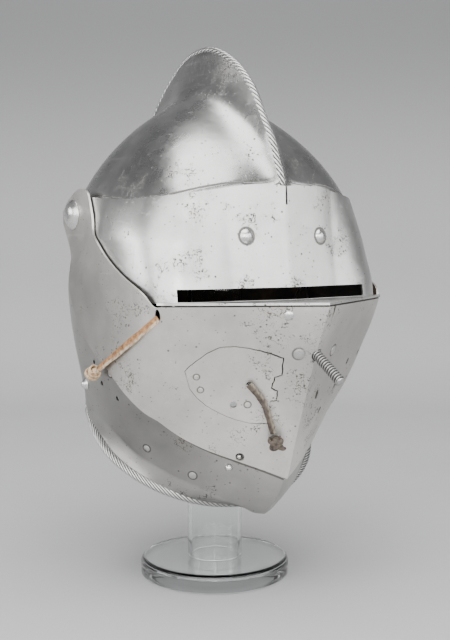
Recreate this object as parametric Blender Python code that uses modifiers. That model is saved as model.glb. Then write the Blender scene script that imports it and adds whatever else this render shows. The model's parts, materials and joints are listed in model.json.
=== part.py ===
"""Close helmet with comb, visor, upper and lower bevor, on a clear display stand.

Run with: blender --background --python part.py

The frame: origin at the centre of the stand's underside, +Z up, the helmet
looks along -Y, +X is the wearer's left.  Numbers are millimetres, and every
mesh is scaled to metres when it is made.
"""
import math

import bmesh
import bpy
import numpy as np
from mathutils import Matrix, Vector

MM = 0.001

# Plate and layering.  The side plates lie one over the other at the pivots.
PLATE = 1.7                 # sheet of the moving plates
SKULL_PLATE = 2.0           # sheet of the skull
SKULL_INSET = 0.8           # how much narrower the skull is where the plates cover it,
CHEEK_INSET = 6.4           # and beyond that below the ears
LOWER_OUT = 2.1             # outer face of the lower bevor, out from the skull's
VISOR_OUT = 4.6             # outer face of the visor
UPPER_OUT = 7.4             # outer face of the upper bevor

# Pivot axis, parallel to X
PIVOT_Y, PIVOT_Z = 50.0, 296.0
PIVOT_FLAT_X = 95.6         # the skull is flattened to this half width there
PRESS_INNER, PRESS_OUTER = 24.0, 64.0       # how wide the metal is pressed in,
RAISE_INNER, RAISE_OUTER = 26.0, 56.0       # and how wide a plate is raised

# The skull's plan sections: superellipses about the point (0, PLAN_Y)
PLAN_Y = 28.0
FRONT_POWER, BACK_POWER = 3.3, 2.17
DOME_Z, APEX_Z = 275.0, 391.0
DOME_POWER = 1.62           # how the plan shrinks with height over DOME_Z
DOME_LEAN = 8.4             # how far forward of PLAN_Y the crown's middle leans
HALF_WIDTH, FRONT_LENGTH, BACK_LENGTH = 105.5, 131.6, 96.1
BOWL_CENTRE = np.array([0.0, 22.0, 262.0])

# Below DOME_Z: height, half width, length forward, length back
SKULL_COLUMNS = ("z", "width", "front", "back")
SKULL_ROWS = (
    (60, 68, 76, 24),
    (83, 78, 96, 32),
    (97, 84, 106, 36),
    (121, 90.5, 116, 42),
    (133, 93.5, 120, 45),
    (147, 97, 124, 49),
    (168, 101, 128, 54),
    (193, 103.3, 129, 75),
    (226, 104.8, 130, 93),
    (259, 105.5, 131.6, 96.1),
    (275, 105.5, 131.6, 96.1),
)

# The bevor's front: height, how far the keel stands forward, how fast the
# face falls back beside the keel, and how square its corner is
FACE_COLUMNS = ("z", "keel", "fall", "corner")
FACE_ROWS = (
    (60, 71, .62, .75),
    (66, 78, .62, .75),
    (80, 91, .62, .80),
    (97, 100, .62, .88),
    (121, 108, .62, 1.10),
    (145, 116, .60, 1.9),
    (163, 122.3, .60, 3.6),
    (189, 131.7, .59, 6.0),
    (209, 140, .57, 7.0),
    (231, 149, .56, 7.0),
    (312, 149, .56, 7.0),
)
LOWER_KEEL_STEP = 4.0       # the lower bevor's keel behind the upper one's

# The visor's front: height, length forward, and squareness of its plan
VISOR_COLUMNS = ("z", "front", "power")
VISOR_ROWS = (
    (229, 128.5, 5.6),
    (241, 127, 5.5),
    (264, 123.5, 4.6),
    (288, 120.5, 3.85),
    (316, 117.5, 3.5),
)
VISOR_KEEL, VISOR_KEEL_WIDTH = 6.0, 48.0
VISOR_GAP = 2.5             # from the visor's outer face to the skull under it

# Collar: the rim is an egg in plan on a slope that is low at the front
RIM_WIDTH, RIM_FRONT, RIM_BACK = 98.0, 60.0, 84.0
RIM_Y, RIM_Z = 13.5, 117.0
RIM_SLOPE, RIM_BEND = 0.66, 0.0026
RIM_BACK_POWER = 2.2
ROPE_RADIUS = 2.9

# Outlines of the plates.  t is the place round the plan: 0 at the keel, 1 at the
# side (PLAN_Y), 2 at the nape.  low and high are heights of the plate's two edges.
EDGE_COLUMNS = ("t", "low", "high")
UPPER_EDGE = (
    (0, 96.9, 229.3), (.092, 102.7, 229.3), (.25, 112, 229.3), (.4, 121.7, 229.3),
    (.492, 130.8, 229.2), (.525, 135.5, 229.0), (.558, 141, 236.5), (.608, 147.5, 242.9),
    (.667, 160, 248.9), (.725, 171, 255.7), (.792, 181, 265.6), (.842, 186, 275.2),
    (.917, 197, 287.3), (.958, 206, 300.5), (.983, 212, 311), (1.03, 225, 315.5),
    (1.09, 246, 315.5), (1.15, 266, 312), (1.21, 281.5, 306), (1.25, 290.5, 299),
)
UPPER_T = (0, .08, .17, .26, .35, .44, .495, .535, .57, .61, .66, .71, .76, .81, .855, .9,
           .94, .97, 1.0, 1.04, 1.09, 1.15, 1.2, 1.25)
VISOR_EDGE = (
    (0, 232.6, 315.7), (.117, 232.6, 316.6), (.325, 232.6, 311.7), (.43, 232.6, 309),
    (.492, 232.6, 307.8), (.56, 232.8, 306.8), (.608, 234, 306.4), (.68, 239, 306.2),
    (.74, 246, 306.3), (.8, 256, 307), (.85, 265, 307.6), (.92, 275, 308.5),
    (.975, 278.5, 308.9), (1.03, 279.5, 309.2), (1.09, 279, 310), (1.13, 280, 310),
    (1.18, 284, 307.5), (1.225, 291.5, 300.5),
)
VISOR_T = (0, .06, .13, .2, .27, .34, .39, .43, .48, .53, .58, .64, .7, .76, .82, .88, .93,
           .98, 1.04, 1.1, 1.16, 1.225)
LOWER_EDGE = (
    (0, 63.6, 107), (.075, 65.1, 112), (.167, 71.4, 117), (.258, 76.6, 122), (.358, 83.8, 129),
    (.458, 89.8, 138), (.55, 95.6, 151), (.633, 102.5, 163), (.733, 110.4, 182),
    (.825, 122.5, 197), (.875, 129.4, 206), (.908, 133.5, 215), (.95, 137, 240),
    (.98, 139.5, 266), (1.01, 142, 287), (1.05, 145.5, 303), (1.1, 150, 311),
    (1.14, 153, 312), (1.18, 155.5, 309), (1.215, 157, 299),
)
LOWER_T = (0, .06, .13, .21, .3, .39, .48, .57, .66, .74, .81, .87, .92, .955, .985, 1.01,
           1.06, 1.12, 1.17, 1.215)
FLANGE_STEPS = (.3, .65, 1.0)

# The shelf under the sight rests over the bevor's top edge
SHELF_Z = 232.2
SHELF_LAST_T = .43
SHELF_REACH = 1.2           # its rim's place round the bevor, over its place round the visor
SIGHT_RIGHT_X, SIGHT_LEFT_X = -90.0, 76.0
SIGHT_LOW, SIGHT_HIGH = 232.4, 241.4
BROW_NOTCH_WIDTH, BROW_NOTCH_LOW = 1.6, 302.0

# The skull's bowl: its four border lines, as points (x, y, z) near the surface
BROW_LINE = ((0, -92, 305), (30, -90, 303), (58, -82, 299), (82, -58, 297), (94, -34, 292),
             (100, -18, 278), (103, -8, 258))
CHEEK_LINE = ((103, -8, 258), (103, 8, 238), (103, 22, 215), (101, 37, 188), (90, 57, 159))
COLLAR_REACH = 9.0          # how far the collar's ends reach forward of the plate above
COLLAR_LINE = ((90, 57, 159), (81, 70, 168), (62, 82, 176), (34, 90, 180), (0, 93, 182))

# The comb: its crest in the medial plane, by angle (degrees up from straight back)
# and distance from the middle of the bowl
COMB_COLUMNS = ("angle", "radius")
COMB_ROWS = (
    (-15, 95), (0, 104), (15, 115), (35, 127), (50, 136), (62, 145), (74, 156), (85, 166.3),
    (95, 169), (108, 162), (120, 151.5), (131, 140), (138, 136), (145, 131), (152.6, 128.2),
    (158, 125),
)
COMB_HALF_EDGE = 2.9
COMB_FLARE = 7.0
COMB_WALK = (0, 1.9, 2.9, 4.6, 7.2, 12.0, 21.0)
SKULL_RIBS, SKULL_COLUMNS_OUT = 22, 6
# Where the plates' rows lie, from the high edge (0) to the low one (1)
UPPER_SHARES = np.array([0, .08, .18, .33, .53, .76, 1])
VISOR_SHARES = np.linspace(0, 1, 5)
LOWER_SHARES = np.array([0, .1, .22, .37, .58, .8, 1])
THONG_POINTS = 18

# Trapdoor in the wearer's right of the upper bevor: the frame of its flat, and its
# outline in it, across and up
DOOR_CENTRE = (-48.0, -98.0, 170.0)
DOOR_NORMAL = (-.5, -.8, -.33)
DOOR_OUTLINE = (
    (-34.8, 12), (-32, 15.6), (-27.2, 19.8), (-18.5, 27), (-9.5, 31.6), (1, 32.2), (12, 30.4),
    (25, 27), (36.6, 22.2), (36.0, 8.2), (31.0, 6.4), (28.6, -1.6), (33.2, -4.2),
    (32.4, -12.2), (27.4, -13.0), (26.2, -31.0), (13, -30.6), (3, -28), (-5.4, -24.6),
    (-13, -20.4), (-20.1, -15.6), (-26.4, -9.6), (-31.2, -2.6),
)
DOOR_GAP = 0.5
DOOR_PROUD = 0.4            # its face stands this far off the bevor's
DOOR_HOLES = ((0.7, -14.8, 2.6), (11.8, 0.9, 2.4))      # across, up, radius
DOOR_HINGE = (-33.0, 5.0, -1.6)                         # across, up, out
DOOR_RIVETS = (                                         # name, across, up, radius
    ("door_rivet_upper", -26.2, 7.5, 2.3),
    ("door_rivet_lower", -23.3, -3.0, 2.3),
    ("door_rivet_front", 11.0, -14.9, 2.6),
)

# Gap between a piece and what it sits on, and the pivots
RIVET_GAP = 0.3
RIVET_SIDES = 8
PIVOT_HOLE_RADIUS = 4.4
PIVOT_SHANK_RADIUS, PIVOT_HEAD_RADIUS, PIVOT_RISE = 4.0, 12.0, 5.0

# Rivets and studs: name, plate, side (-1 is the wearer's right), t, z, radius, height
FITTINGS = (
    ("visor_rivet_right", "visor", -1, .168, 278.9, 5.3, 2.4),
    ("visor_rivet_left", "visor", 1, .168, 278.9, 5.3, 2.4),
    ("prow_rivet_right", "upper", -1, .058, 194.7, 3.9, .5),
    ("prow_rivet_left", "upper", 1, .159, 194.0, 3.9, .5),
    ("shelf_rivet", "upper", -1, .117, 222.9, 3.6, 1.2),
    ("lower_rivet_cheek", "lower", -1, .795, 175.2, 2.9, .5),
    ("lower_rivet_jaw", "lower", -1, .668, 116.4, 2.6, .5),
    ("lower_rivet_throat", "lower", -1, .445, 96.9, 2.9, .5),
    ("catch_button", "lower", -1, .268, 105.5, 3.4, 3.6),
    ("catch_stud", "lower", -1, .224, 114.6, 2.3, 2.4),
    ("side_stud_right", "lower", -1, 1.023, 161.4, 4.6, 3.8),
    ("side_stud_left", "lower", 1, 1.023, 161.4, 4.6, 3.8),
)

# Round holes through the upper bevor: name, side, t, z, radius
UPPER_HOLES = (
    ("breath_1", 1, .500, 184.8, 2.2), ("breath_2", 1, .383, 180.1, 2.5),
    ("breath_3", 1, .467, 164.1, 2.4), ("breath_4", 1, .320, 161.5, 2.5),
    ("breath_5", 1, .505, 149.5, 2.2), ("breath_6", 1, .439, 145.9, 2.4),
    ("breath_7", 1, .216, 145.2, 2.5), ("breath_8", 1, .120, 160.4, 3.5),
    ("catch_hole", -1, .226, 114.5, 3.3),
)
EAR_HOLES = ((.904, 190.1), (.918, 181.2), (.870, 165.5), (.764, 155.7))    # t, z
EAR_HOLE_RADIUS = 1.8
THONG_SLOT = (.512, 223.2)                  # t, z
THONG_SLOT_RADIUS, THONG_SLOT_STRETCH = 1.8, 2.6

# The threaded stud on the prow
SCREW_FOOT = (2.0, -131.8, 193.9)
SCREW_WAY = (-.03, -.86, -.50)
SCREW_LENGTH, SCREW_RADIUS, SCREW_PITCH, SCREW_CUT = 34.0, 4.1, 2.5, .7
SCREW_ROOT = 4.0            # how far it goes in behind the foot

# Thongs: the route from where each leaves its hole to its knot, half its width, and the
# knot's middle
THONGS = (
    ("cheek", ((-103.2, -86.4, 221.2), (-106.2, -80.7, 216.3), (-108.8, -73.9, 211.3),
               (-110.9, -66.1, 206.0), (-112.0, -56.2, 200.5), (-112.4, -44.9, 194.7),
               (-112.6, -32.6, 188.5), (-112.5, -19.5, 182.3), (-112.2, -10.5, 178.0)),
     2.3, (-112.6, -3.9, 175.0)),
    ("door", ((-39.3, -106.1, 172.1), (-35.6, -107.4, 167.8), (-29.6, -108.2, 160.5),
              (-25.6, -108.2, 153.9), (-23.2, -107.6, 148.0), (-20.2, -106.9, 140.9),
              (-17.8, -106.2, 134.4)),
     2.0, (-16.8, -108.6, 127.4)),
)
KNOT_RADIUS = 6.3

# The display stand
BASE_RADIUS, BASE_THICK, BASE_EDGE = 61.5, 14.0, 4.5
POST_RADIUS, POST_WALL, POST_TOP = 22.5, 3.0, 374.0
POST_EDGE = 3.0


def table(rows, columns, name, z):
    """Read one column of a table at the heights z, on a smooth curve through the rows."""
    data = np.array(rows, float)
    xs = data[:, 0]
    ys = data[:, columns.index(name)]
    step = np.diff(xs)
    rise = np.diff(ys) / step
    inner = (rise[:-1] * step[1:] + rise[1:] * step[:-1]) / (xs[2:] - xs[:-2])
    slope = np.concatenate([rise[:1], inner, rise[-1:]])
    z = np.clip(np.asarray(z, float), xs[0], xs[-1])
    i = np.clip(np.searchsorted(xs, z, side="right") - 1, 0, len(xs) - 2)
    h = step[i]
    t = (z - xs[i]) / h
    return ((2 * t**3 - 3 * t**2 + 1) * ys[i] + (t**3 - 2 * t**2 + t) * h * slope[i]
            + (3 * t**2 - 2 * t**3) * ys[i + 1] + (t**3 - t**2) * h * slope[i + 1])


def smoothstep(low, high, value):
    """0 below low, 1 above high, with level ends."""
    t = np.clip((np.asarray(value, float) - low) / (high - low), 0, 1)
    return t * t * (3 - 2 * t)


def half_axes(z):
    """The skull's half width and its lengths forward and back at the heights z."""
    z = np.asarray(z, float)
    up = np.clip((z - DOME_Z) / (APEX_Z - DOME_Z), 0, 1)
    shrink = np.maximum(1 - up**DOME_POWER, 1e-6) ** (1 / DOME_POWER)
    above = (HALF_WIDTH * shrink, FRONT_LENGTH * shrink, BACK_LENGTH * shrink)
    below = [table(SKULL_ROWS, SKULL_COLUMNS, name, z) for name in SKULL_COLUMNS[1:]]
    return [np.where(z > DOME_Z, a, b) for a, b in zip(above, below)]


def flatten_at_pivot(x, y, z, out):
    """Press the sides to a flat disc round the pivot axis, at its own distance out.

    The plates over the skull (out over 0) are also raised to that disc where they lie
    lower, so that they can turn over one another.
    """
    reach = np.hypot(y - PIVOT_Y, z - PIVOT_Z)
    flat = PIVOT_FLAT_X + out
    raised = smoothstep(RAISE_INNER, RAISE_OUTER, reach) if out > 0 else 1.0
    keep = np.where(np.abs(x) > flat, smoothstep(PRESS_INNER, PRESS_OUTER, reach), raised)
    near_side = smoothstep(45, 75, np.abs(x))
    keep = 1 - (1 - keep) * near_side
    return np.sign(x) * (np.abs(x) * keep + flat * (1 - keep))


def lean(z):
    """How far the middle of the dome's plan lies forward of PLAN_Y at the heights z."""
    up = np.clip((np.asarray(z, float) - DOME_Z) / (APEX_Z - DOME_Z), 0, 1)
    return DOME_LEAN * up**1.5


def under_visor(p, width, dy):
    """Whether points lie inside the visor, by its gap; always so above its top edge."""
    power = table(VISOR_ROWS, VISOR_COLUMNS, "power", p[..., 2])
    front = table(VISOR_ROWS, VISOR_COLUMNS, "front", p[..., 2]) - VISOR_GAP
    level = (np.abs(p[..., 0]) / (width + VISOR_OUT - VISOR_GAP))**power + (np.abs(dy) / front)**power
    return (level < 1) | (dy > 0) | (p[..., 2] > VISOR_ROWS[-1][0])


def skull_point(direction):
    """Where rays from the middle of the bowl meet the skull's outer face, by halving."""
    low = np.full(direction.shape[:-1], 5.0)
    high = np.full(direction.shape[:-1], 220.0)
    for _ in range(34):
        middle = (low + high) / 2
        p = BOWL_CENTRE + direction * middle[..., None]
        width, front, back = half_axes(p[..., 2])
        dy = p[..., 1] - PLAN_Y + lean(p[..., 2])
        length = np.where(dy < 0, front, back)
        power = np.where(dy < 0, FRONT_POWER, BACK_POWER)
        level = (np.abs(p[..., 0]) / width)**power + (np.abs(dy) / length)**power
        inside = (level < 1) & (p[..., 2] < APEX_Z) & under_visor(p, width, dy)
        low = np.where(inside, middle, low)
        high = np.where(inside, high, middle)
    points = BOWL_CENTRE + direction * low[..., None]
    x, y, z = np.moveaxis(points, -1, 0)
    inset = SKULL_INSET * (1 - smoothstep(285, 320, z)) + CHEEK_INSET * (1 - smoothstep(235, 292, z))
    x = np.maximum(0, np.abs(x) - inset * smoothstep(40, 80, np.abs(x))) * np.sign(x)
    points[..., 0] = flatten_at_pivot(x, y, z, -SKULL_INSET)
    return points


def back_quarter(z, out, t):
    """Plan curve behind PLAN_Y: a superellipse quarter from the side to the nape."""
    width, _, back = half_axes(z)
    a = t * math.pi / 2
    x = (width + out) * np.cos(a) ** (2 / BACK_POWER)
    y = PLAN_Y - lean(z) + (back + out) * np.sin(a) ** (2 / BACK_POWER)
    return x, y


def face_front(z, out, keel_step, t):
    """Plan curve of a bevor from the keel (t=0) to the side (t=1): a rational conic."""
    keel, fall, corner = (table(FACE_ROWS, FACE_COLUMNS, n, z) for n in FACE_COLUMNS[1:])
    keel = keel - keel_step
    width = half_axes(z)[0] + out
    a, b, c = (1 - t)**2, 2 * corner * t * (1 - t), t**2
    total = a + b + c
    x = (b * width + c * width) / total
    y = (-a * keel + b * (fall * width - keel) + c * (PLAN_Y - lean(z))) / total
    return x, y


def visor_front(z, out, _, t):
    """Plan curve of the visor from its ridge (t=0) to the side (t=1)."""
    front = table(VISOR_ROWS, VISOR_COLUMNS, "front", z) + (out - VISOR_OUT)
    power = table(VISOR_ROWS, VISOR_COLUMNS, "power", z)
    width = half_axes(z)[0] + out
    a = t * math.pi / 2
    x = width * np.sin(a) ** (2 / power)
    y = PLAN_Y - lean(z) - front * np.cos(a) ** (2 / power)
    y = y - VISOR_KEEL * np.maximum(0, 1 - x / VISOR_KEEL_WIDTH)
    return x, y


def plan_point(front, t, z, out, keel_step=0.0, samples=120):
    """Points of an outer face: t runs 0 to 1 from keel to side, 1 to 2 from side to nape.

    Each stretch is walked at an even pace, by the length run along its plan curve.
    """
    t, z = np.broadcast_arrays(np.asarray(t, float), np.asarray(z, float))
    shape = t.shape
    t, z = t.ravel(), z.ravel()
    fine = np.linspace(0, 1, samples)[None, :]
    level = np.repeat(z[:, None], samples, 1)
    points = np.empty((t.size, 3))
    for behind in (False, True):
        rows = (t > 1) == behind
        if not rows.any():
            continue
        if behind:
            x, y = back_quarter(level[rows], out, fine)
        else:
            x, y = front(level[rows], out, keel_step, fine)
        gap = np.hypot(np.diff(x, axis=1), np.diff(y, axis=1))
        run = np.concatenate([np.zeros((len(gap), 1)), np.cumsum(gap, 1)], 1)
        want = (t[rows] - behind) * run[:, -1]
        after = np.clip((run < want[:, None]).sum(1), 1, samples - 1)
        line = np.arange(len(want))
        part = (want - run[line, after - 1]) / np.maximum(run[line, after] - run[line, after - 1], 1e-9)
        points[rows, 0] = x[line, after - 1] * (1 - part) + x[line, after] * part
        points[rows, 1] = y[line, after - 1] * (1 - part) + y[line, after] * part
        points[rows, 2] = z[rows]
    points[:, 0] = flatten_at_pivot(points[:, 0], points[:, 1], points[:, 2], out)
    return points.reshape(shape + (3,))


def rim_height(y):
    """Height of the collar's rim over the plan's y."""
    dy = y - RIM_Y
    return RIM_Z + RIM_SLOPE * dy - RIM_BEND * dy**2


def rim_point(points):
    """The rim's point in the same direction from the collar's middle as each given point."""
    x = points[..., 0]
    dy = points[..., 1] - RIM_Y
    length = np.where(dy < 0, RIM_FRONT, RIM_BACK)
    power = np.where(dy < 0, 2.0, RIM_BACK_POWER)
    reach = ((np.abs(x) / RIM_WIDTH)**power + (np.abs(dy) / length)**power) ** (1 / power)
    rim_y = RIM_Y + dy / reach
    return np.stack([x / reach, rim_y, rim_height(rim_y)], -1)


def flange_rows(last, forward=0.0):
    """Rows that carry a plate's last row down and out to the rim in a hollow curve.

    forward is how far the sides of the rim reach towards the face beyond the row above.
    """
    ahead = np.zeros_like(last)
    ahead[..., 1] = forward * smoothstep(55, 88, np.abs(last[..., 0]))
    rim = rim_point(last - ahead)
    turn = last + (rim - last) * np.array([.15, .15, .8])
    rows = []
    for f in FLANGE_STEPS:
        rows.append((1 - f)**2 * last + 2 * f * (1 - f) * turn + f**2 * rim)
    return np.array(rows)


def smooth_line(points, count):
    """A smooth line of count points through the given ones (Catmull-Rom)."""
    p = np.array(points, float)
    p = np.vstack([2 * p[:1] - p[1:2], p, 2 * p[-1:] - p[-2:-1]])
    s = np.linspace(0, len(points) - 1, count)
    i = np.minimum(s.astype(int), len(points) - 2)
    t = (s - i)[:, None]
    a, b, c, d = p[i], p[i + 1], p[i + 2], p[i + 3]
    return 0.5 * (2 * b + (c - a) * t + (2 * a - 5 * b + 4 * c - d) * t**2
                  + (3 * b - a - 3 * c + d) * t**3)


def unit(vectors):
    """The vectors at length one."""
    return vectors / np.linalg.norm(vectors, axis=-1, keepdims=True)


def skull_sheet(ribs, across):
    """The bowl and comb as a half sheet: ribs run from brow to nape, rows out to the cheek.

    The bowl is a patch between four border lines, blended as directions from the
    middle of the bowl and carried out to the surface along them.  Beside the middle
    each rib is walked at set distances, so that the comb's wall has its own points.
    """
    fine = 70
    s = np.linspace(0, 1, ribs)[:, None, None]
    q = np.linspace(0, 1, fine)[None, :, None]
    borders = [unit(smooth_line(line, n) - BOWL_CENTRE) for line, n in
               ((BROW_LINE, fine), (CHEEK_LINE, ribs), (COLLAR_LINE[::-1], fine))]
    brow, cheek, collar = borders
    start = math.atan2(brow[0, 2], brow[0, 1])
    end = math.atan2(collar[0, 2], collar[0, 1])
    turn = np.linspace(start, end, ribs)
    middle = np.stack([0 * turn, np.cos(turn), np.sin(turn)], 1)
    blend = ((1 - q) * middle[:, None] + q * cheek[:, None]
             + (1 - s) * brow[None] + s * collar[None]
             - (1 - s) * (1 - q) * brow[0] - (1 - s) * q * brow[-1]
             - s * (1 - q) * collar[0] - s * q * collar[-1])
    surface = skull_point(unit(blend))
    surface[:, 0, 0] = 0
    rows = []
    for rib, angle in zip(surface, turn):
        run = np.concatenate([[0], np.cumsum(np.linalg.norm(np.diff(rib, axis=0), axis=1))])
        near = np.interp(COMB_WALK, rib[:, 0], run)
        rest = np.linspace(near[-1], run[-1], across + 1)[1:]
        walk = np.concatenate([near, rest])
        row = np.stack([np.interp(walk, run, rib[:, k]) for k in range(3)], 1)
        rows.append(raise_comb(row, angle))
    return np.array(rows)


def raise_comb(row, angle):
    """Lift one rib's points to the comb: full at the crest, falling in a hollow flare."""
    crest = table(COMB_ROWS, COMB_COLUMNS, "radius", math.degrees(angle))
    height = max(0.0, float(crest) - np.linalg.norm(row[0] - BOWL_CENTRE))
    x = row[:, 0]
    share = np.exp(-np.maximum(0, x - COMB_HALF_EDGE) / COMB_FLARE)
    rounding = height and min(1.6, height / 3) / height
    share = share - rounding * np.clip(x / COMB_HALF_EDGE, 0, 1)**3 * (x <= COMB_HALF_EDGE + .3)
    outward = np.array([0, math.cos(angle), math.sin(angle)])
    return row + outward * (height * share)[:, None]


def plate_sheet(front, edges, ts, out, keel_step, shares):
    """A plate as a half sheet: columns round the plan, rows from its high to its low edge."""
    t = np.array(ts, float)
    low = table(edges, EDGE_COLUMNS, "low", t)
    high = table(edges, EDGE_COLUMNS, "high", t)
    v = shares[:, None]
    z = high * (1 - v) + low * v
    return plan_point(front, np.broadcast_to(t, z.shape), z, out, keel_step)


def visor_sheet(ts, shares):
    """The visor with the shelf that turns out over the bevor's top edge."""
    sheet = plate_sheet(visor_front, VISOR_EDGE, ts, VISOR_OUT, 0, shares)
    t = np.array(ts, float)
    foot = sheet[-1].copy()
    rim = plan_point(face_front, t * SHELF_REACH, np.full(t.shape, 230.0), UPPER_OUT)
    foot[:, 2] -= SIGHT_LOW - SHELF_Z + .2
    shelf = t <= SHELF_LAST_T
    rim[:, 2] = SHELF_Z
    middle = np.where(shelf[:, None], (foot + rim) / 2, foot - (0, 0, .4))
    edge = np.where(shelf[:, None], rim, foot - (0, 0, .8))
    return np.concatenate([sheet, foot[None], middle[None], edge[None]])


def lower_sheet(ts, shares):
    """The lower bevor with its half of the collar."""
    sheet = plate_sheet(face_front, LOWER_EDGE, ts, LOWER_OUT, LOWER_KEEL_STEP, shares)
    return np.concatenate([sheet, flange_rows(sheet[-1])])


PLATES = {
    "upper": (face_front, UPPER_OUT, 0),
    "lower": (face_front, LOWER_OUT, LOWER_KEEL_STEP),
    "visor": (visor_front, VISOR_OUT, 0),
}


# Making the objects

def collection(name):
    """A new collection in the scene."""
    group = bpy.data.collections.new(name)
    bpy.context.scene.collection.children.link(group)
    return group


def material(name, colour, roughness, metallic, transmission=0.0):
    """A Principled material of the part's colour and finish."""
    made = bpy.data.materials.new(name)
    made.use_nodes = True
    shader = made.node_tree.nodes["Principled BSDF"]
    shader.inputs["Base Color"].default_value = (*colour, 1)
    shader.inputs["Roughness"].default_value = roughness
    shader.inputs["Metallic"].default_value = metallic
    shader.inputs["Transmission Weight"].default_value = transmission
    return made


def place(name, mesh, group, finish=None):
    """An object for the mesh, in a collection, with its own copy of the finish."""
    thing = bpy.data.objects.new(name, mesh)
    group.objects.link(thing)
    if finish is not None:
        own = finish.copy()
        own.name = name + "_finish"
        mesh.materials.clear()
        mesh.materials.append(own)
    return thing


def sheet_mesh(name, points):
    """A mesh of quads over a grid of points (rows, columns, 3), given in millimetres."""
    rows, columns = points.shape[:2]
    corner = np.arange(rows * columns).reshape(rows, columns)
    quads = np.stack([corner[:-1, :-1], corner[1:, :-1], corner[1:, 1:], corner[:-1, 1:]], -1)
    mesh = bpy.data.meshes.new(name)
    mesh.from_pydata((points.reshape(-1, 3) * MM).tolist(), [], quads.reshape(-1, 4).tolist())
    return mesh


def thicken(thing, thickness):
    """Give an open sheet its thickness inwards."""
    solid = thing.modifiers.new("Plate thickness", "SOLIDIFY")
    solid.thickness = thickness * MM
    solid.offset = -1
    solid.use_even_offset = True
    solid.use_quality_normals = True


def shell(name, points, thickness, finish):
    """A plate: a half sheet, mirrored across the middle and given its thickness."""
    thing = place(name, sheet_mesh(name, points), PARTS, finish)
    thing.data.shade_smooth()
    mirror = thing.modifiers.new("Both halves", "MIRROR")
    mirror.merge_threshold = 0.0001
    thicken(thing, thickness)
    return thing


def cut(thing, cutter, operation="DIFFERENCE"):
    """An exact Boolean of the thing with a cutter."""
    step = thing.modifiers.new(cutter.name, "BOOLEAN")
    step.operation = operation
    step.solver = "EXACT"
    step.object = cutter


def as_cutter(thing):
    """Hide an operand from renders and draw it as wire."""
    thing.hide_render = True
    thing.display_type = "WIRE"
    return thing


def box_cutter(name, low, high):
    """A box between two corners in millimetres."""
    bm = bmesh.new()
    bmesh.ops.create_cube(bm, size=1)
    low, high = Vector(low) * MM, Vector(high) * MM
    bmesh.ops.scale(bm, vec=high - low, verts=bm.verts)
    bmesh.ops.translate(bm, vec=(low + high) / 2, verts=bm.verts)
    mesh = bpy.data.meshes.new(name)
    bm.to_mesh(mesh)
    bm.free()
    return as_cutter(place(name, mesh, CUTTERS))


def upright(normal):
    """The turn that lays a thing's +Z along the normal."""
    return Vector(normal).to_track_quat("Z", "Y").to_matrix().to_4x4()


def rod_cutter(name, centre, normal, radius, length, sides=10, squash=1.0, spin=0.0):
    """A rod through centre along normal; squash makes it a slot, spin turns the slot."""
    bm = bmesh.new()
    bmesh.ops.create_cone(bm, cap_ends=True, segments=sides, radius1=radius * MM,
                          radius2=radius * MM, depth=length * MM)
    mesh = bpy.data.meshes.new(name)
    bm.to_mesh(mesh)
    bm.free()
    shape = upright(normal) @ Matrix.Rotation(spin, 4, "Z") @ Matrix.Diagonal((squash, 1, 1, 1))
    mesh.transform(Matrix.Translation(Vector(centre) * MM) @ shape)
    return as_cutter(place(name, mesh, CUTTERS))


def turned(name, profile, centre, normal, sides, finish):
    """A turned piece: a profile (radius, height) spun about the normal at the centre."""
    mesh = bpy.data.meshes.new(name)
    points = [(r * MM, 0, h * MM) for r, h in profile]
    mesh.from_pydata(points, [(i, i + 1) for i in range(len(points) - 1)], [])
    thing = place(name, mesh, PARTS, finish)
    spin = thing.modifiers.new("Turned", "SCREW")
    spin.steps = sides
    spin.render_steps = sides
    spin.use_merge_vertices = True
    spin.merge_threshold = 0.00001
    spin.use_smooth_shade = True
    thing.matrix_world = Matrix.Translation(Vector(centre) * MM) @ upright(normal)
    return thing


def tube(name, points, radius, bevel_resolution, finish, group=None):
    """A round cord or wire along the points (millimetres)."""
    curve = bpy.data.curves.new(name, "CURVE")
    curve.dimensions = "3D"
    curve.bevel_depth = radius * MM
    curve.bevel_resolution = bevel_resolution
    curve.use_fill_caps = True
    line = curve.splines.new("POLY")
    line.points.add(len(points) - 1)
    for point, where in zip(line.points, points):
        point.co = (*(np.asarray(where) * MM), 1)
    return place(name, curve, group or PARTS, finish)


def meshed(thing):
    """The thing as a mesh of its evaluated shape, with a curve's loose caps welded."""
    bpy.context.view_layer.update()
    shape = thing.evaluated_get(bpy.context.evaluated_depsgraph_get())
    mesh = bpy.data.meshes.new_from_object(shape)
    bm = bmesh.new()
    bm.from_mesh(mesh)
    bmesh.ops.remove_doubles(bm, verts=bm.verts, dist=0.00001)
    bm.to_mesh(mesh)
    bm.free()
    solid = bpy.data.objects.new(thing.name, mesh)
    solid.matrix_world = thing.matrix_world
    for group in list(thing.users_collection):
        group.objects.link(solid)
    name = thing.name
    bpy.data.objects.remove(thing)
    solid.name = name
    return solid


def roll(name, rim):
    """The turned rim along a plate's last row, whole round, as an operand."""
    half = rim[::-1]
    line = np.concatenate([half, half[-2::-1] * (-1, 1, 1)])
    return as_cutter(meshed(tube(name, line, ROPE_RADIUS, 1, None, CUTTERS)))


def spot(plate, side, t, z):
    """A point of a plate's outer face and the way out of the metal there."""
    front, out, step = PLATES[plate]
    around = plan_point(front, [t, t + .01, t], [z, z, z + 1.0], out, step)
    around[:, 0] *= side
    normal = np.cross(around[1] - around[0], around[2] - around[0]) * side
    return around[0], unit(normal)


def rivet(name, centre, normal, radius, height):
    """A domed rivet head that sits just off its plate."""
    profile = [(0, height), (radius * .6, height * .82), (radius, height * .3), (radius, 0), (0, 0)]
    return turned(name, profile, centre + normal * RIVET_GAP, normal, RIVET_SIDES, BRIGHT)


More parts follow.
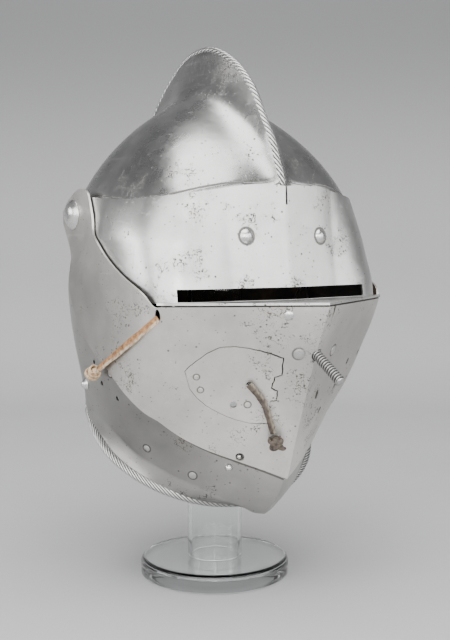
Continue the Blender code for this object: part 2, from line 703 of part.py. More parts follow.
def door_frame():
    """Middle and three axes (across, up, out) of the trapdoor's flat."""
    out = unit(np.array(DOOR_NORMAL))
    across = unit(np.cross([0, 0, 1.0], out))
    return np.array(DOOR_CENTRE), across, np.cross(out, across), out


def door_place(across, up, out=0.0):
    """A point in millimetres from its places across, up and out in the trapdoor's frame."""
    middle, u, v, n = door_frame()
    return middle + u * across + v * up + n * out


def door_prism(name, gap):
    """A prism over the trapdoor's outline, drawn in by a gap."""
    outline = np.array(DOOR_OUTLINE, float)
    ahead = np.roll(outline, -1, 0) - outline
    behind = outline - np.roll(outline, 1, 0)
    along = unit(unit(ahead) + unit(behind))
    inward = np.stack([along[:, 1], -along[:, 0]], 1)
    outline = outline + inward * gap
    curve = bpy.data.curves.new(name, "CURVE")
    curve.dimensions = "2D"
    curve.fill_mode = "BOTH"
    curve.extrude = 12 * MM
    line = curve.splines.new("POLY")
    line.points.add(len(outline) - 1)
    line.use_cyclic_u = True
    for point, (u, v) in zip(line.points, outline):
        point.co = (u * MM, v * MM, 0, 1)
    thing = place(name, curve, CUTTERS)
    middle, u, v, n = door_frame()
    turn = Matrix((u, v, n)).transposed().to_4x4()
    thing.matrix_world = Matrix.Translation(Vector(middle) * MM) @ turn
    return as_cutter(meshed(thing))


def build_skull():
    """The bowl, comb and rear collar in one piece."""
    bowl = skull_sheet(SKULL_RIBS, SKULL_COLUMNS_OUT)
    sheet = np.concatenate([bowl, flange_rows(bowl[-1], COLLAR_REACH)])
    rim = sheet[-1]
    skull = shell("skull", sheet[::-1], SKULL_PLATE, STEEL)
    cut(skull, roll("rear_roll", rim), "UNION")
    return skull


def build_lower_bevor():
    """The lower bevor with the front of the collar."""
    sheet = lower_sheet(LOWER_T, LOWER_SHARES)
    plate = shell("lower_bevor", sheet, PLATE, STEEL)
    cut(plate, roll("front_roll", sheet[-1]), "UNION")
    cut(plate, PIVOT_HOLE)
    for number, (t, z) in enumerate(EAR_HOLES, 1):
        point, _ = spot("lower", 1, t, z)
        middle = (0, point[1], point[2])
        cut(plate, rod_cutter(f"ear_hole_{number}", middle, (1, 0, 0), EAR_HOLE_RADIUS, 260, 8))
    return plate


def build_visor():
    """The visor with its sight and the notch in its brow."""
    plate = shell("visor", visor_sheet(VISOR_T, VISOR_SHARES), PLATE, STEEL)
    cut(plate, box_cutter("sight", (SIGHT_RIGHT_X, -160, SIGHT_LOW), (SIGHT_LEFT_X, -40, SIGHT_HIGH)))
    cut(plate, box_cutter("brow_notch", (-BROW_NOTCH_WIDTH / 2, -130, BROW_NOTCH_LOW),
                          (BROW_NOTCH_WIDTH / 2, -80, 330)))
    cut(plate, PIVOT_HOLE)
    return plate


def build_upper_bevor():
    """The upper bevor with its breaths and the openings for door, thong, screw and catch."""
    sheet = plate_sheet(face_front, UPPER_EDGE, UPPER_T, UPPER_OUT, 0, UPPER_SHARES)
    plate = shell("upper_bevor", sheet, PLATE, STEEL)
    cut(plate, door_prism("door_opening", 0))
    cut(plate, PIVOT_HOLE)
    for name, side, t, z, radius in UPPER_HOLES:
        point, normal = spot("upper", side, t, z)
        cut(plate, rod_cutter(name, point, normal, radius, 14, 8))
    point, normal = spot("upper", -1, *THONG_SLOT)
    cut(plate, rod_cutter("thong_slot", point, normal, THONG_SLOT_RADIUS, 14, 8,
                          THONG_SLOT_STRETCH, math.radians(90)))
    cut(plate, rod_cutter("screw_hole", SCREW_FOOT, SCREW_WAY, SCREW_RADIUS + .5, 30))
    return plate


def build_trapdoor():
    """The trapdoor: a piece of the face's own surface, a hair proud of it."""
    t = np.linspace(.03, .56, 12)
    z = np.linspace(208, 132, 9)[:, None]
    sheet = plan_point(face_front, *np.broadcast_arrays(t, z), UPPER_OUT + DOOR_PROUD, -DOOR_PROUD)
    sheet[..., 0] *= -1
    thing = place("trapdoor", sheet_mesh("trapdoor", sheet[:, ::-1]), PARTS, STEEL)
    thicken(thing, PLATE)
    cut(thing, door_prism("door_outline", DOOR_GAP), "INTERSECT")
    for number, (across, up, radius) in enumerate(DOOR_HOLES, 1):
        cut(thing, rod_cutter(f"door_hole_{number}", door_place(across, up), DOOR_NORMAL, radius, 24))
    return thing


def on_door(across, up):
    """The point of the trapdoor's outer face at a place across and up."""
    t = np.linspace(0, .6, 120)
    best = None
    for out in np.linspace(-4, 3, 141):
        point = door_place(across, up, out)
        line = plan_point(face_front, t, point[2], UPPER_OUT + DOOR_PROUD, -DOOR_PROUD)
        miss = np.hypot(-line[:, 0] - point[0], line[:, 1] - point[1]).min()
        if best is None or miss < best[0]:
            best = (miss, point)
    return best[1]


def build_rivets():
    """Rivets, studs and the catch."""
    made = {}
    for name, plate, side, t, z, radius, height in FITTINGS:
        centre, normal = spot(plate, side, t, z)
        made[name] = rivet(name, centre, normal, radius, height)
    for name, across, up, radius in DOOR_RIVETS:
        made[name] = rivet(name, on_door(across, up), door_frame()[3], radius, .7)
    return made


def build_pivot(name, side):
    """A pivot in one piece: the shank through the plates, off the skull, and its head."""
    foot = PIVOT_FLAT_X + RIVET_GAP
    seat = UPPER_OUT
    head, shank = PIVOT_HEAD_RADIUS, PIVOT_SHANK_RADIUS
    profile = [(0, seat + PIVOT_RISE), (head * .5, seat + PIVOT_RISE * .86),
               (head * .85, seat + PIVOT_RISE * .5), (head, seat + .4), (head, seat),
               (shank, seat), (shank, 0), (0, 0)]
    return turned(name, profile, (side * foot, PIVOT_Y, PIVOT_Z), (side, 0, 0), 14, BRIGHT)


def build_screw():
    """The threaded stud: rings of thread down from a rounded tip to the root inside."""
    core = SCREW_RADIUS - SCREW_CUT
    profile = [(0, SCREW_LENGTH), (SCREW_RADIUS * .6, SCREW_LENGTH - .7)]
    for ring in range(int(SCREW_LENGTH / SCREW_PITCH), 0, -1):
        profile.append((SCREW_RADIUS, (ring - .5) * SCREW_PITCH))
        profile.append((core, (ring - 1) * SCREW_PITCH))
    profile += [(core, -SCREW_ROOT), (0, -SCREW_ROOT)]
    return turned("attachment_screw", profile, SCREW_FOOT, SCREW_WAY, 8, BRIGHT)


def build_knot(name, middle):
    """A thong's end, tied in a knot."""
    bm = bmesh.new()
    bmesh.ops.create_uvsphere(bm, u_segments=10, v_segments=6, radius=KNOT_RADIUS * MM)
    mesh = bpy.data.meshes.new(name)
    bm.to_mesh(mesh)
    bm.free()
    mesh.shade_smooth()
    knot = place(name, mesh, PARTS, LEATHER)
    knot.location = Vector(middle) * MM
    return knot


def build_stand():
    """The clear stand: a disc with a rounded edge, and a hollow post with a closed top."""
    r, t, e = BASE_RADIUS, BASE_THICK, BASE_EDGE
    disc = [(0, t), (r - e, t), (r - e * .3, t - e * .3), (r, t - e), (r, e / 2), (r - e / 2, 0),
            (0, 0)]
    foot = BASE_THICK + RIVET_GAP
    outer, inner, roof = POST_RADIUS, POST_RADIUS - POST_WALL, POST_TOP - POST_WALL
    post = [(0, POST_TOP), (outer - POST_EDGE, POST_TOP), (outer, POST_TOP - POST_EDGE),
            (outer, foot), (inner, foot), (inner, roof), (0, roof)]
    up = (0, 0, 1)
    return [turned("stand_base", disc, (0, 0, 0), up, 40, CLEAR),
            turned("stand_post", post, (0, 0, 0), up, 20, CLEAR)]


def joint_empty(name, place_on_axis, parent=None):
    """An empty on a joint's axis, which carries what turns about it."""
    empty = bpy.data.objects.new(name, None)
    PARTS.objects.link(empty)
    empty.empty_display_size = 0.02
    empty.location = Vector(place_on_axis) * MM
    hang(empty, parent)
    return empty


def hang(thing, parent):
    """Parent a thing and leave it where it is."""
    bpy.context.view_layer.update()
    if parent is not None:
        thing.parent = parent
        thing.matrix_parent_inverse = parent.matrix_world.inverted()


# The scene

for old in list(bpy.data.objects):
    bpy.data.objects.remove(old, do_unlink=True)

PARTS = collection("close_helmet_on_stand")
CUTTERS = collection("cutters")

STEEL = material("steel", (.52, .52, .51), .32, 1.0)
BRIGHT = material("bright_steel", (.68, .68, .67), .25, 1.0)
LEATHER = material("leather", (.42, .27, .17), .8, 0.0)
CLEAR = material("clear_acrylic", (.9, .92, .92), .05, 0.0, 1.0)

PIVOT_HOLE = rod_cutter("pivot_hole", (0, PIVOT_Y, PIVOT_Z), (1, 0, 0), PIVOT_HOLE_RADIUS, 260,
                        14, 1, .1)

lower_axis = joint_empty("lower_bevor_axis", (0, PIVOT_Y, PIVOT_Z))
upper_axis = joint_empty("upper_bevor_axis", (0, PIVOT_Y, PIVOT_Z), lower_axis)
visor_axis = joint_empty("visor_axis", (0, PIVOT_Y, PIVOT_Z), upper_axis)
door_axis = joint_empty("trapdoor_axis", door_place(*DOOR_HINGE), upper_axis)

build_skull()
build_stand()
for pivot_name, pivot_side in (("pivot_right", -1), ("pivot_left", 1)):
    build_pivot(pivot_name, pivot_side)
hang(build_lower_bevor(), lower_axis)
hang(build_upper_bevor(), upper_axis)
hang(build_screw(), upper_axis)
hang(build_visor(), visor_axis)
hang(build_trapdoor(), door_axis)

carried_by = {"lower": lower_axis, "upper": upper_axis, "visor": visor_axis}
rivets = build_rivets()
for rivet_name, plate_name, *_ in FITTINGS:
    hang(rivets[rivet_name], carried_by[plate_name])
for rivet_name, *_ in DOOR_RIVETS:
    hang(rivets[rivet_name], door_axis)
for (label, thong_route, half_width, knot_place), carrier in zip(THONGS, (upper_axis, door_axis)):
    hang(tube("thong_" + label, smooth_line(thong_route, THONG_POINTS), half_width, 2, LEATHER), carrier)
    hang(build_knot("knot_" + label, knot_place), carrier)
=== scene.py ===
# %% [markdown]
# # A close helmet on its stand
#
# A close helmet shuts the whole head in steel: a skull with a tall comb, a visor with the
# sight, and two bevors that cover the face and the throat.  All of them turn on one pair
# of pivots by the ears.  The model of its solids is ready, and this script dresses it:
# every plate is worked out again as a fine surface, and every surface gets a finish.
# The first cell loads the solids.

# %% Load the solids
import functools
import json
import math

import bmesh
import bpy
import numpy as np
from mathutils import Matrix, Vector

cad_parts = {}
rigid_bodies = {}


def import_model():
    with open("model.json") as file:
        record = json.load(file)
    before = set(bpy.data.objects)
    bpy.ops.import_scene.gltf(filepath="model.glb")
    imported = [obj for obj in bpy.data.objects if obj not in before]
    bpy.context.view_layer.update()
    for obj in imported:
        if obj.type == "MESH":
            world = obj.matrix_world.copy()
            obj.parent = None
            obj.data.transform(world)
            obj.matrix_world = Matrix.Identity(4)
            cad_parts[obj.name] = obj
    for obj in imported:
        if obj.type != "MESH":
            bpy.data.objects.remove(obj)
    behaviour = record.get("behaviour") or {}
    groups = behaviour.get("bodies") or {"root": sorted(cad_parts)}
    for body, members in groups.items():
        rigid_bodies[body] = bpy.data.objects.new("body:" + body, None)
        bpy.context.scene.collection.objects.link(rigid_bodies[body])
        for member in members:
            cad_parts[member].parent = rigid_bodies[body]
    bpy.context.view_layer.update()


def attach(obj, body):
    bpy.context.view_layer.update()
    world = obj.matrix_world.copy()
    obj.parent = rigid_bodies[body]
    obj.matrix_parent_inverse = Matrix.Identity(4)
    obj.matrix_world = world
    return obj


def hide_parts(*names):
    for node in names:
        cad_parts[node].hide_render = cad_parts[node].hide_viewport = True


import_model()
MM = 0.001

# %% [markdown]
# ## Camera
#
# The picture was taken from the helmet's right front, a little above its middle, with
# the lens tilted down by less than five degrees.  A camera looks along its own -Z, so
# ninety degrees about X makes it level, and the turn about Z takes it round the object.

# %% Place the camera
VIEW_AZIMUTH, VIEW_TILT = 33.58, 4.633      # degrees
CAMERA_PLACE = (-0.46294, -0.71287, 0.2789)     # metres
IMAGE_HEIGHT, FOCAL_PIXELS, SENSOR_MM = 640, 1036.6, 36.0


def placed(name, data):
    """A new object in the scene, over a mesh, a lamp or a camera."""
    thing = bpy.data.objects.new(name, data)
    bpy.context.scene.collection.objects.link(thing)
    return thing


camera = placed("camera", bpy.data.cameras.new("camera"))
camera.location = CAMERA_PLACE
camera.rotation_euler = (math.radians(90 - VIEW_TILT), 0, math.radians(-VIEW_AZIMUTH))
camera.data.sensor_width = SENSOR_MM
camera.data.lens = FOCAL_PIXELS * SENSOR_MM / IMAGE_HEIGHT
camera.data.clip_start = 0.01
bpy.context.scene.camera = camera
print(f"lens {camera.data.lens:.1f} mm")

# %% [markdown]
# ## Shader maths in Python
#
# A finish is easiest to read when its sums are written as sums.  `Value` wraps an output
# socket, and each sign between two values adds the Math node that does it.  Colours go
# through Mix nodes, since a Math node would turn them grey.  `Paint` is one material
# being made, and its `add` makes any other node.

# %% Value and Paint
class Value:
    """An output socket that can stand in a Python expression."""

    def __init__(self, paint, socket):
        self.paint = paint
        self.socket = socket

    def sign(self, operation, first, second=0.0):
        """The Math node that works out the operation."""
        return self.paint.add("ShaderNodeMath", {"operation": operation}, {0: first, 1: second})

    def __add__(self, other):
        return self.sign("ADD", self, other)

    def __sub__(self, other):
        return self.sign("SUBTRACT", self, other)

    def __rsub__(self, other):
        return self.sign("SUBTRACT", other, self)

    def __mul__(self, other):
        return self.sign("MULTIPLY", self, other)

    __radd__ = __add__
    __rmul__ = __mul__

    def between(self, low, high):
        """0 below low, 1 above high, with level ends between them."""
        return self.paint.add("ShaderNodeMapRange", {"interpolation_type": "SMOOTHSTEP", "clamp": True},
                              {0: self, 1: low, 2: high, 3: 0.0, 4: 1.0})

    def most(self, other):
        """The larger of two values."""
        return self.sign("MAXIMUM", self, other)

    def magnitude(self):
        """The value without its sign."""
        return self.sign("ABSOLUTE", self)


class Paint:
    """A material being made: its nodes, its shader and its Object coordinates."""

    def __init__(self, name, **constants):
        self.material = bpy.data.materials.new(name)
        self.material.use_nodes = True
        self.nodes = self.material.node_tree.nodes
        self.links = self.material.node_tree.links
        self.shader = self.nodes["Principled BSDF"]
        for socket, constant in constants.items():
            self.shader.inputs[socket.replace("_", " ")].default_value = constant
        self.place = self.add("ShaderNodeTexCoord", output="Object")

    def add(self, kind, settings=None, sockets=None, output=0):
        """Any node: its settings, then the values or links of its sockets."""
        node = self.nodes.new(kind)
        for name, setting in (settings or {}).items():
            setattr(node, name, setting)
        for name, given in (sockets or {}).items():
            self.feed(node.inputs[name], given)
        return Value(self, node.outputs[output])

    def feed(self, socket, given):
        """Link a value into a socket, or set the socket to a constant."""
        if isinstance(given, Value):
            self.links.new(given.socket, socket)
        else:
            socket.default_value = given

    def noise(self, scale, detail, roughness, stretch=(1, 1, 1), turn=(0, 0, 0), shift=0.0):
        """Noise on the object, with scale in waves a metre, along its own turned axes."""
        where = self.add("ShaderNodeMapping", None,
                         {"Vector": self.place, "Scale": stretch, "Rotation": turn,
                          "Location": (shift, shift, shift)})
        return self.add("ShaderNodeTexNoise", None,
                        {"Vector": where, "Scale": scale, "Detail": detail, "Roughness": roughness})

    def dots(self, scale, low, high, shift=0.0):
        """1 at many scattered points, falling to 0 from low to high, in cells away from them."""
        where = self.add("ShaderNodeMapping", None, {"Vector": self.place, "Location": (shift, 0, shift)})
        far = self.add("ShaderNodeTexVoronoi", None, {"Vector": where, "Scale": scale}, "Distance")
        return 1 - far.between(low, high)

    def kept(self, name):
        """The number that the mesh keeps at each point under this name."""
        return self.add("ShaderNodeAttribute", {"attribute_name": name}, output="Fac")

    def away(self, point):
        """Distance in millimetres from a point of the object."""
        far = self.add("ShaderNodeVectorMath", {"operation": "DISTANCE"},
                       {0: self.place, 1: tuple(np.asarray(point) * MM)}, "Value")
        return far * 1000.0

    def rgb(self, red, green, blue):
        """A colour from three values."""
        return self.add("ShaderNodeCombineColor", None, {0: red, 1: green, 2: blue})

    def mix(self, share, first, second):
        """Two colours, the second by its share."""
        return self.add("ShaderNodeMix", {"data_type": "RGBA"}, {0: share, 6: first, 7: second}, 2)

    def bump(self, height, distance, strength=1.0, normal=None):
        """A Bump node over a height of 0 to 1, distance metres deep."""
        sockets = {"Height": height, "Distance": distance, "Strength": strength}
        if normal is not None:
            sockets["Normal"] = normal
        return self.add("ShaderNodeBump", None, sockets)

    def finish(self, **sockets):
        """Link the shader's inputs and give the material."""
        for name, given in sockets.items():
            self.feed(self.shader.inputs[name.replace("_", " ")], given)
        return self.material


print("ready to paint")

# %% [markdown]
# ## Worn steel
#
# The plates are old polished steel.  Broad hammer marks bend the reflections a little,
# the polish has left fine lines in many directions, and damp has left small black pits
# in patches, with a thin brown stain round them.  Close to rivets and holes a dark ring
# is painted: dirt, with painted shade in the gap round each head.  Seams get a dark line
# of dirt and painted shadow, and some plates get painted shade as darker metal round
# given points.  The same finish is made for each plate, with its own tone and its own
# places for dirt and painted shade.

# %% Steel
# The second colour darkens rings and seams: dirt together with painted shade.
PIT_COLOUR, DIRT_AND_SHADE_COLOUR, STAIN_COLOUR = (.05, .043, .036, 1), (.07, .062, .055, 1), (.25, .20, .155, 1)


def steel(name, tone, warmth, pit_share, rough, rings=(), blots=(), seam=None, metal=1.0, painted_shade_points=()):
    """Worn satin steel.

    light = tone * (0.64 + 0.58 slow) * (0.82 + 0.34 cloud) * (0.96 + 0.08 grain) *
    (1 + 0.05 lines), darker as painted shade round the last argument's points, then darker
    in pits, stains and rings.  A ring is (point, radius, width): a dark ring of dirt and
    painted shade where the distance from the point is within the width of the radius.  A
    blot is (point, reach): a patch of pits, stain and worm-like scars.  A seam is (middle,
    half): a dark line of dirt and painted shadow where the mesh's seam number is within
    half of middle.  Metal under 1 is for a duller, greyer plate, and the last argument
    lists points with painted shade, darker metal colour, round them.
    """
    paint = Paint(name, Metallic=1.0)
    slow = paint.noise(14, 3, .5)
    cloud = paint.noise(60, 4, .6, shift=.3)
    grain = paint.noise(900, 2, .6)
    line_a = paint.noise(340, 2, .5, stretch=(.06, 1, 1), turn=(.2, .5, .4))
    line_b = paint.noise(300, 2, .5, stretch=(1, .05, 1), turn=(.7, .1, .9), shift=.7)
    line_c = paint.noise(260, 2, .5, stretch=(1, 1, .05), turn=(.3, .8, .2), shift=.4)
    lines = line_a.between(.62, .72) + line_b.between(.63, .73) + line_c.between(.64, .74)

    patch = paint.noise(22, 4, .65, shift=1.7).between(.62 - .1 * pit_share, .74)
    for point, reach in blots:
        near = 1 - paint.away(point).between(reach * .3, reach)
        patch = patch.most(near * cloud.between(.35, .6))
    holes = paint.dots(330, .14, .34) * paint.noise(150, 1, .5, shift=.9).between(.44, .54)
    fine_holes = paint.dots(760, .14, .34, .2) * grain.between(.42, .56)
    worm = (paint.noise(170, 2, .6, shift=5.1) - .5).magnitude()
    worm = (1 - worm.between(.006, .026)) * paint.noise(90, 1, .5, shift=4.3).between(.46, .53)
    pits = holes.most(fine_holes * .7).most(worm) * patch.between(.08, .34)
    often = paint.noise(38, 1, .5, shift=2.2).between(.5 - .1 * pit_share, .56 - .1 * pit_share)
    lone = paint.dots(105, .06, .105, .6) * often
    tiny = paint.dots(230, .11, .2, .4) * paint.noise(60, 1, .5, shift=6.2)
    tiny = tiny.between(.46 - .06 * pit_share, .54)
    pits = pits.most(lone * .85).most(tiny * .6)

    # Dark rings round points and a dark seam line: dirt together with painted shade.
    dirt_and_shade = []
    for point, radius, width in rings:
        off = (paint.away(point) - radius).magnitude()
        dirt_and_shade.append((1 - off.between(width * .4, width)) * cloud.between(.2, .45))
    if seam:
        middle, half = seam
        off = (paint.kept("seam") - middle + (cloud - .5) * .8).magnitude()
        dirt_and_shade.append(1 - off.between(half * .5, half))

    light = (.64 + slow * .58) * (.82 + cloud * .34) * (.96 + grain * .08) * (1 + lines * .05)
    # Painted shade: the metal's colour darkens round each of these points.
    for point in painted_shade_points:
        light = light * (.62 + paint.away(point).between(25, 105) * .38)
    light = light * tone
    base = paint.rgb(light * (1 + .06 * warmth), light, light * (1 - .10 * warmth) * .99)
    stain = patch * cloud.between(.4, .75) * .32
    colour = paint.mix(stain, base, STAIN_COLOUR)
    colour = paint.mix(pits * .9, colour, PIT_COLOUR)
    if dirt_and_shade:
        dark = functools.reduce(Value.most, dirt_and_shade)
        colour = paint.mix(dark * .8, colour, DIRT_AND_SHADE_COLOUR)
        pits = pits.most(dark)

    roughness = rough - .05 + slow * .12 + cloud * .1 + lines * .06 + patch * .1 + pits * .25
    broad = paint.bump(paint.noise(30, 2, .45, shift=3.1), .0016, .4)
    fine = paint.bump(lines * .5 + grain * .5, .00012, .3, broad)
    deep = paint.bump(1 - pits, .0003, .4, fine)
    return paint.finish(Base_Color=colour, Roughness=roughness, Metallic=metal - pits * .3, Normal=deep)


print("steel is a function: each plate gets its own")

# %% [markdown]
# ## The surfaces
#
# All the plates share one way of being described: a curve in plan for each height.  The
# skull's is a superellipse, the bevor's a pointed conic with a keel, the visor's a square
# superellipse with a slight ridge.  Sizes that change with height come from short tables,
# read along a smooth curve.  Every length in this part is in millimetres.

# %% Sizes that every plate shares
PLATE = 1.7                 # sheet of the moving plates
SKULL_PLATE = 2.0           # sheet of the skull
SKULL_INSET = 0.8           # how much narrower the skull is where the plates cover it,
CHEEK_INSET = 6.4           # and beyond that below the ears
LOWER_OUT = 2.1             # outer face of the lower bevor, out from the skull's
VISOR_OUT = 4.6             # outer face of the visor
UPPER_OUT = 7.4             # outer face of the upper bevor
PIVOT_Y, PIVOT_Z = 50.0, 296.0
PIVOT_FLAT_X = 95.6         # the skull is flattened to this half width there
PRESS_INNER, PRESS_OUTER = 24.0, 64.0       # how wide the metal is pressed in,
RAISE_INNER, RAISE_OUTER = 26.0, 56.0       # and how wide a plate is raised
SIDE_FROM_X, SIDE_TO_X = 45, 75             # nothing nearer the middle is pressed or raised
PLAN_Y = 28.0               # where every plan curve is widest
FRONT_POWER, BACK_POWER = 3.3, 2.17         # of the skull's superellipse
DOME_Z, APEX_Z = 275.0, 391.0               # the plan shrinks from the one to the other
DOME_POWER = 1.62           # how the plan shrinks with height over DOME_Z
DOME_LEAN = 8.4             # how far forward of PLAN_Y the crown's middle leans
HALF_WIDTH, FRONT_LENGTH, BACK_LENGTH = 105.5, 131.6, 96.1
BOWL_CENTRE = np.array([0.0, 22.0, 262.0])  # the skull's surface is found by rays from here
SKULL_COLUMNS = ("z", "width", "front", "back")
SKULL_ROWS = (
    (60, 68, 76, 24),
    (83, 78, 96, 32),
    (97, 84, 106, 36),
    (121, 90.5, 116, 42),
    (133, 93.5, 120, 45),
    (147, 97, 124, 49),
    (168, 101, 128, 54),
    (193, 103.3, 129, 75),
    (226, 104.8, 130, 93),
    (259, 105.5, 131.6, 96.1),
    (275, 105.5, 131.6, 96.1),
)


def table(rows, columns, name, z):
    """Read one column of a table at the heights z, on a smooth curve through the rows."""
    data = np.array(rows, float)
    xs = data[:, 0]
    ys = data[:, columns.index(name)]
    step = np.diff(xs)
    rise = np.diff(ys) / step
    inner = (rise[:-1] * step[1:] + rise[1:] * step[:-1]) / (xs[2:] - xs[:-2])
    slope = np.concatenate([rise[:1], inner, rise[-1:]])
    z = np.clip(np.asarray(z, float), xs[0], xs[-1])
    i = np.clip(np.searchsorted(xs, z, side="right") - 1, 0, len(xs) - 2)
    h = step[i]
    t = (z - xs[i]) / h
    return ((2 * t**3 - 3 * t**2 + 1) * ys[i] + (t**3 - 2 * t**2 + t) * h * slope[i]
            + (3 * t**2 - 2 * t**3) * ys[i + 1] + (t**3 - t**2) * h * slope[i + 1])


def smoothstep(low, high, value):
    """0 below low, 1 above high, with level ends."""
    t = np.clip((np.asarray(value, float) - low) / (high - low), 0, 1)
    return t * t * (3 - 2 * t)


def unit(vectors):
    """The vectors at length one."""
    return vectors / np.linalg.norm(vectors, axis=-1, keepdims=True)


def smooth_line(points, count):
    """A smooth line of count points through the given ones (Catmull-Rom)."""
    p = np.array(points, float)
    p = np.vstack([2 * p[:1] - p[1:2], p, 2 * p[-1:] - p[-2:-1]])
    s = np.linspace(0, len(points) - 1, count)
    i = np.minimum(s.astype(int), len(points) - 2)
    t = (s - i)[:, None]
    a, b, c, d = p[i], p[i + 1], p[i + 2], p[i + 3]
    return 0.5 * (2 * b + (c - a) * t + (2 * a - 5 * b + 4 * c - d) * t**2
                  + (3 * b - a - 3 * c + d) * t**3)


print("skull", 2 * HALF_WIDTH, "mm wide,", FRONT_LENGTH + BACK_LENGTH, "mm long")

# %% [markdown]
# ## Plan curves
#
# Each curve runs from the front's middle to the side.  Near the pivots all plates are
# pressed to flat discs that lie one over the other, so that they can turn.

# %% The skull's plan and the flats at the pivots
def half_axes(z):
    """The skull's half width and its lengths forward and back at the heights z."""
    z = np.asarray(z, float)
    up = np.clip((z - DOME_Z) / (APEX_Z - DOME_Z), 0, 1)
    shrink = np.maximum(1 - up**DOME_POWER, 1e-6) ** (1 / DOME_POWER)
    above = (HALF_WIDTH * shrink, FRONT_LENGTH * shrink, BACK_LENGTH * shrink)
    below = [table(SKULL_ROWS, SKULL_COLUMNS, name, z) for name in SKULL_COLUMNS[1:]]
    return [np.where(z > DOME_Z, a, b) for a, b in zip(above, below)]


def flatten_at_pivot(x, y, z, out):
    """Press the sides to a flat disc round the pivot axis, at its own distance out.

    The plates over the skull (out over 0) are also raised to that disc where they lie
    lower, so that they can turn over one another.
    """
    reach = np.hypot(y - PIVOT_Y, z - PIVOT_Z)
    flat = PIVOT_FLAT_X + out
    raised = smoothstep(RAISE_INNER, RAISE_OUTER, reach) if out > 0 else 1.0
    keep = np.where(np.abs(x) > flat, smoothstep(PRESS_INNER, PRESS_OUTER, reach), raised)
    keep = 1 - (1 - keep) * smoothstep(SIDE_FROM_X, SIDE_TO_X, np.abs(x))
    return np.sign(x) * (np.abs(x) * keep + flat * (1 - keep))


def lean(z):
    """How far the middle of the dome's plan lies forward of PLAN_Y at the heights z."""
    up = np.clip((np.asarray(z, float) - DOME_Z) / (APEX_Z - DOME_Z), 0, 1)
    return DOME_LEAN * up**1.5


def back_quarter(z, out, t):
    """Plan curve behind PLAN_Y: a superellipse quarter from the side to the nape."""
    width, _, back = half_axes(z)
    a = t * math.pi / 2
    x = (width + out) * np.cos(a) ** (2 / BACK_POWER)
    y = PLAN_Y - lean(z) + (back + out) * np.sin(a) ** (2 / BACK_POWER)
    return x, y


print("the neck is", 2 * float(half_axes(147)[0]), "mm wide")

# %% [markdown]
# ## Face and visor
#
# The bevors share one curve: a rational conic from the keel to the side, which starts
# straight, as a prow does, and turns sharper the higher it lies.  The visor's curve is a
# squarer superellipse.  `plan_point` walks along a curve at an even pace.

# %% The face's and the visor's plan
FACE_COLUMNS = ("z", "keel", "fall", "corner")
FACE_ROWS = (
    (60, 71, .62, .75),
    (66, 78, .62, .75),
    (80, 91, .62, .80),
    (97, 100, .62, .88),
    (121, 108, .62, 1.10),
    (145, 116, .60, 1.9),
    (163, 122.3, .60, 3.6),
    (189, 131.7, .59, 6.0),
    (209, 140, .57, 7.0),
    (231, 149, .56, 7.0),
    (312, 149, .56, 7.0),
)
LOWER_KEEL_STEP = 4.0       # the lower bevor's keel behind the upper one's
VISOR_COLUMNS = ("z", "front", "power")
VISOR_ROWS = (
    (229, 128.5, 5.6),
    (241, 127, 5.5),
    (264, 123.5, 4.6),
    (288, 120.5, 3.85),
    (316, 117.5, 3.5),
)
VISOR_KEEL, VISOR_KEEL_WIDTH = 6.0, 48.0    # how far its ridge stands out, and how wide
VISOR_GAP = 2.5             # from the visor's outer face to the skull under it


def face_front(z, out, keel_step, t):
    """Plan curve of a bevor from the keel (t=0) to the side (t=1): a rational conic."""
    keel, fall, corner = (table(FACE_ROWS, FACE_COLUMNS, n, z) for n in FACE_COLUMNS[1:])
    keel = keel - keel_step
    width = half_axes(z)[0] + out
    a, b, c = (1 - t)**2, 2 * corner * t * (1 - t), t**2
    total = a + b + c
    x = (b * width + c * width) / total
    y = (-a * keel + b * (fall * width - keel) + c * (PLAN_Y - lean(z))) / total
    return x, y


def visor_front(z, out, _, t):
    """Plan curve of the visor from its ridge (t=0) to the side (t=1); it has no keel step."""
    front = table(VISOR_ROWS, VISOR_COLUMNS, "front", z) + (out - VISOR_OUT)
    power = table(VISOR_ROWS, VISOR_COLUMNS, "power", z)
    width = half_axes(z)[0] + out
    a = t * math.pi / 2
    x = width * np.sin(a) ** (2 / power)
    y = PLAN_Y - lean(z) - front * np.cos(a) ** (2 / power)
    y = y - VISOR_KEEL * np.maximum(0, 1 - x / VISOR_KEEL_WIDTH)
    return x, y


PLAN_SAMPLES = 120


def plan_point(front, t, z, out, keel_step=0.0):
    """Points of an outer face: t runs 0 to 1 from keel to side, 1 to 2 from side to nape.

    Each stretch is walked at an even pace, by the length run along its plan curve.
    """
    t, z = np.broadcast_arrays(np.asarray(t, float), np.asarray(z, float))
    shape = t.shape
    t, z = t.ravel(), z.ravel()
    fine = np.linspace(0, 1, PLAN_SAMPLES)[None, :]
    level = np.repeat(z[:, None], PLAN_SAMPLES, 1)
    points = np.empty((t.size, 3))
    for behind in (False, True):
        rows = (t > 1) == behind
        if not rows.any():
            continue
        if behind:
            x, y = back_quarter(level[rows], out, fine)
        else:
            x, y = front(level[rows], out, keel_step, fine)
        gap = np.hypot(np.diff(x, axis=1), np.diff(y, axis=1))
        run = np.concatenate([np.zeros((len(gap), 1)), np.cumsum(gap, 1)], 1)
        want = (t[rows] - behind) * run[:, -1]
        after = np.clip((run < want[:, None]).sum(1), 1, PLAN_SAMPLES - 1)
        line = np.arange(len(want))
        part = (want - run[line, after - 1]) / np.maximum(run[line, after] - run[line, after - 1], 1e-9)
        points[rows, 0] = x[line, after - 1] * (1 - part) + x[line, after] * part
        points[rows, 1] = y[line, after - 1] * (1 - part) + y[line, after] * part
        points[rows, 2] = z[rows]
    points[:, 0] = flatten_at_pivot(points[:, 0], points[:, 1], points[:, 2], out)
    return points.reshape(shape + (3,))


print("keel", table(FACE_ROWS, FACE_COLUMNS, "keel", 190.0).round(1), "mm forward at the nose")

# %% [markdown]
# ## Collar
#
# The rim of the collar is an oval in plan that slopes up to the nape.  Both halves of the
# collar flare out to it from the last row of their plate.

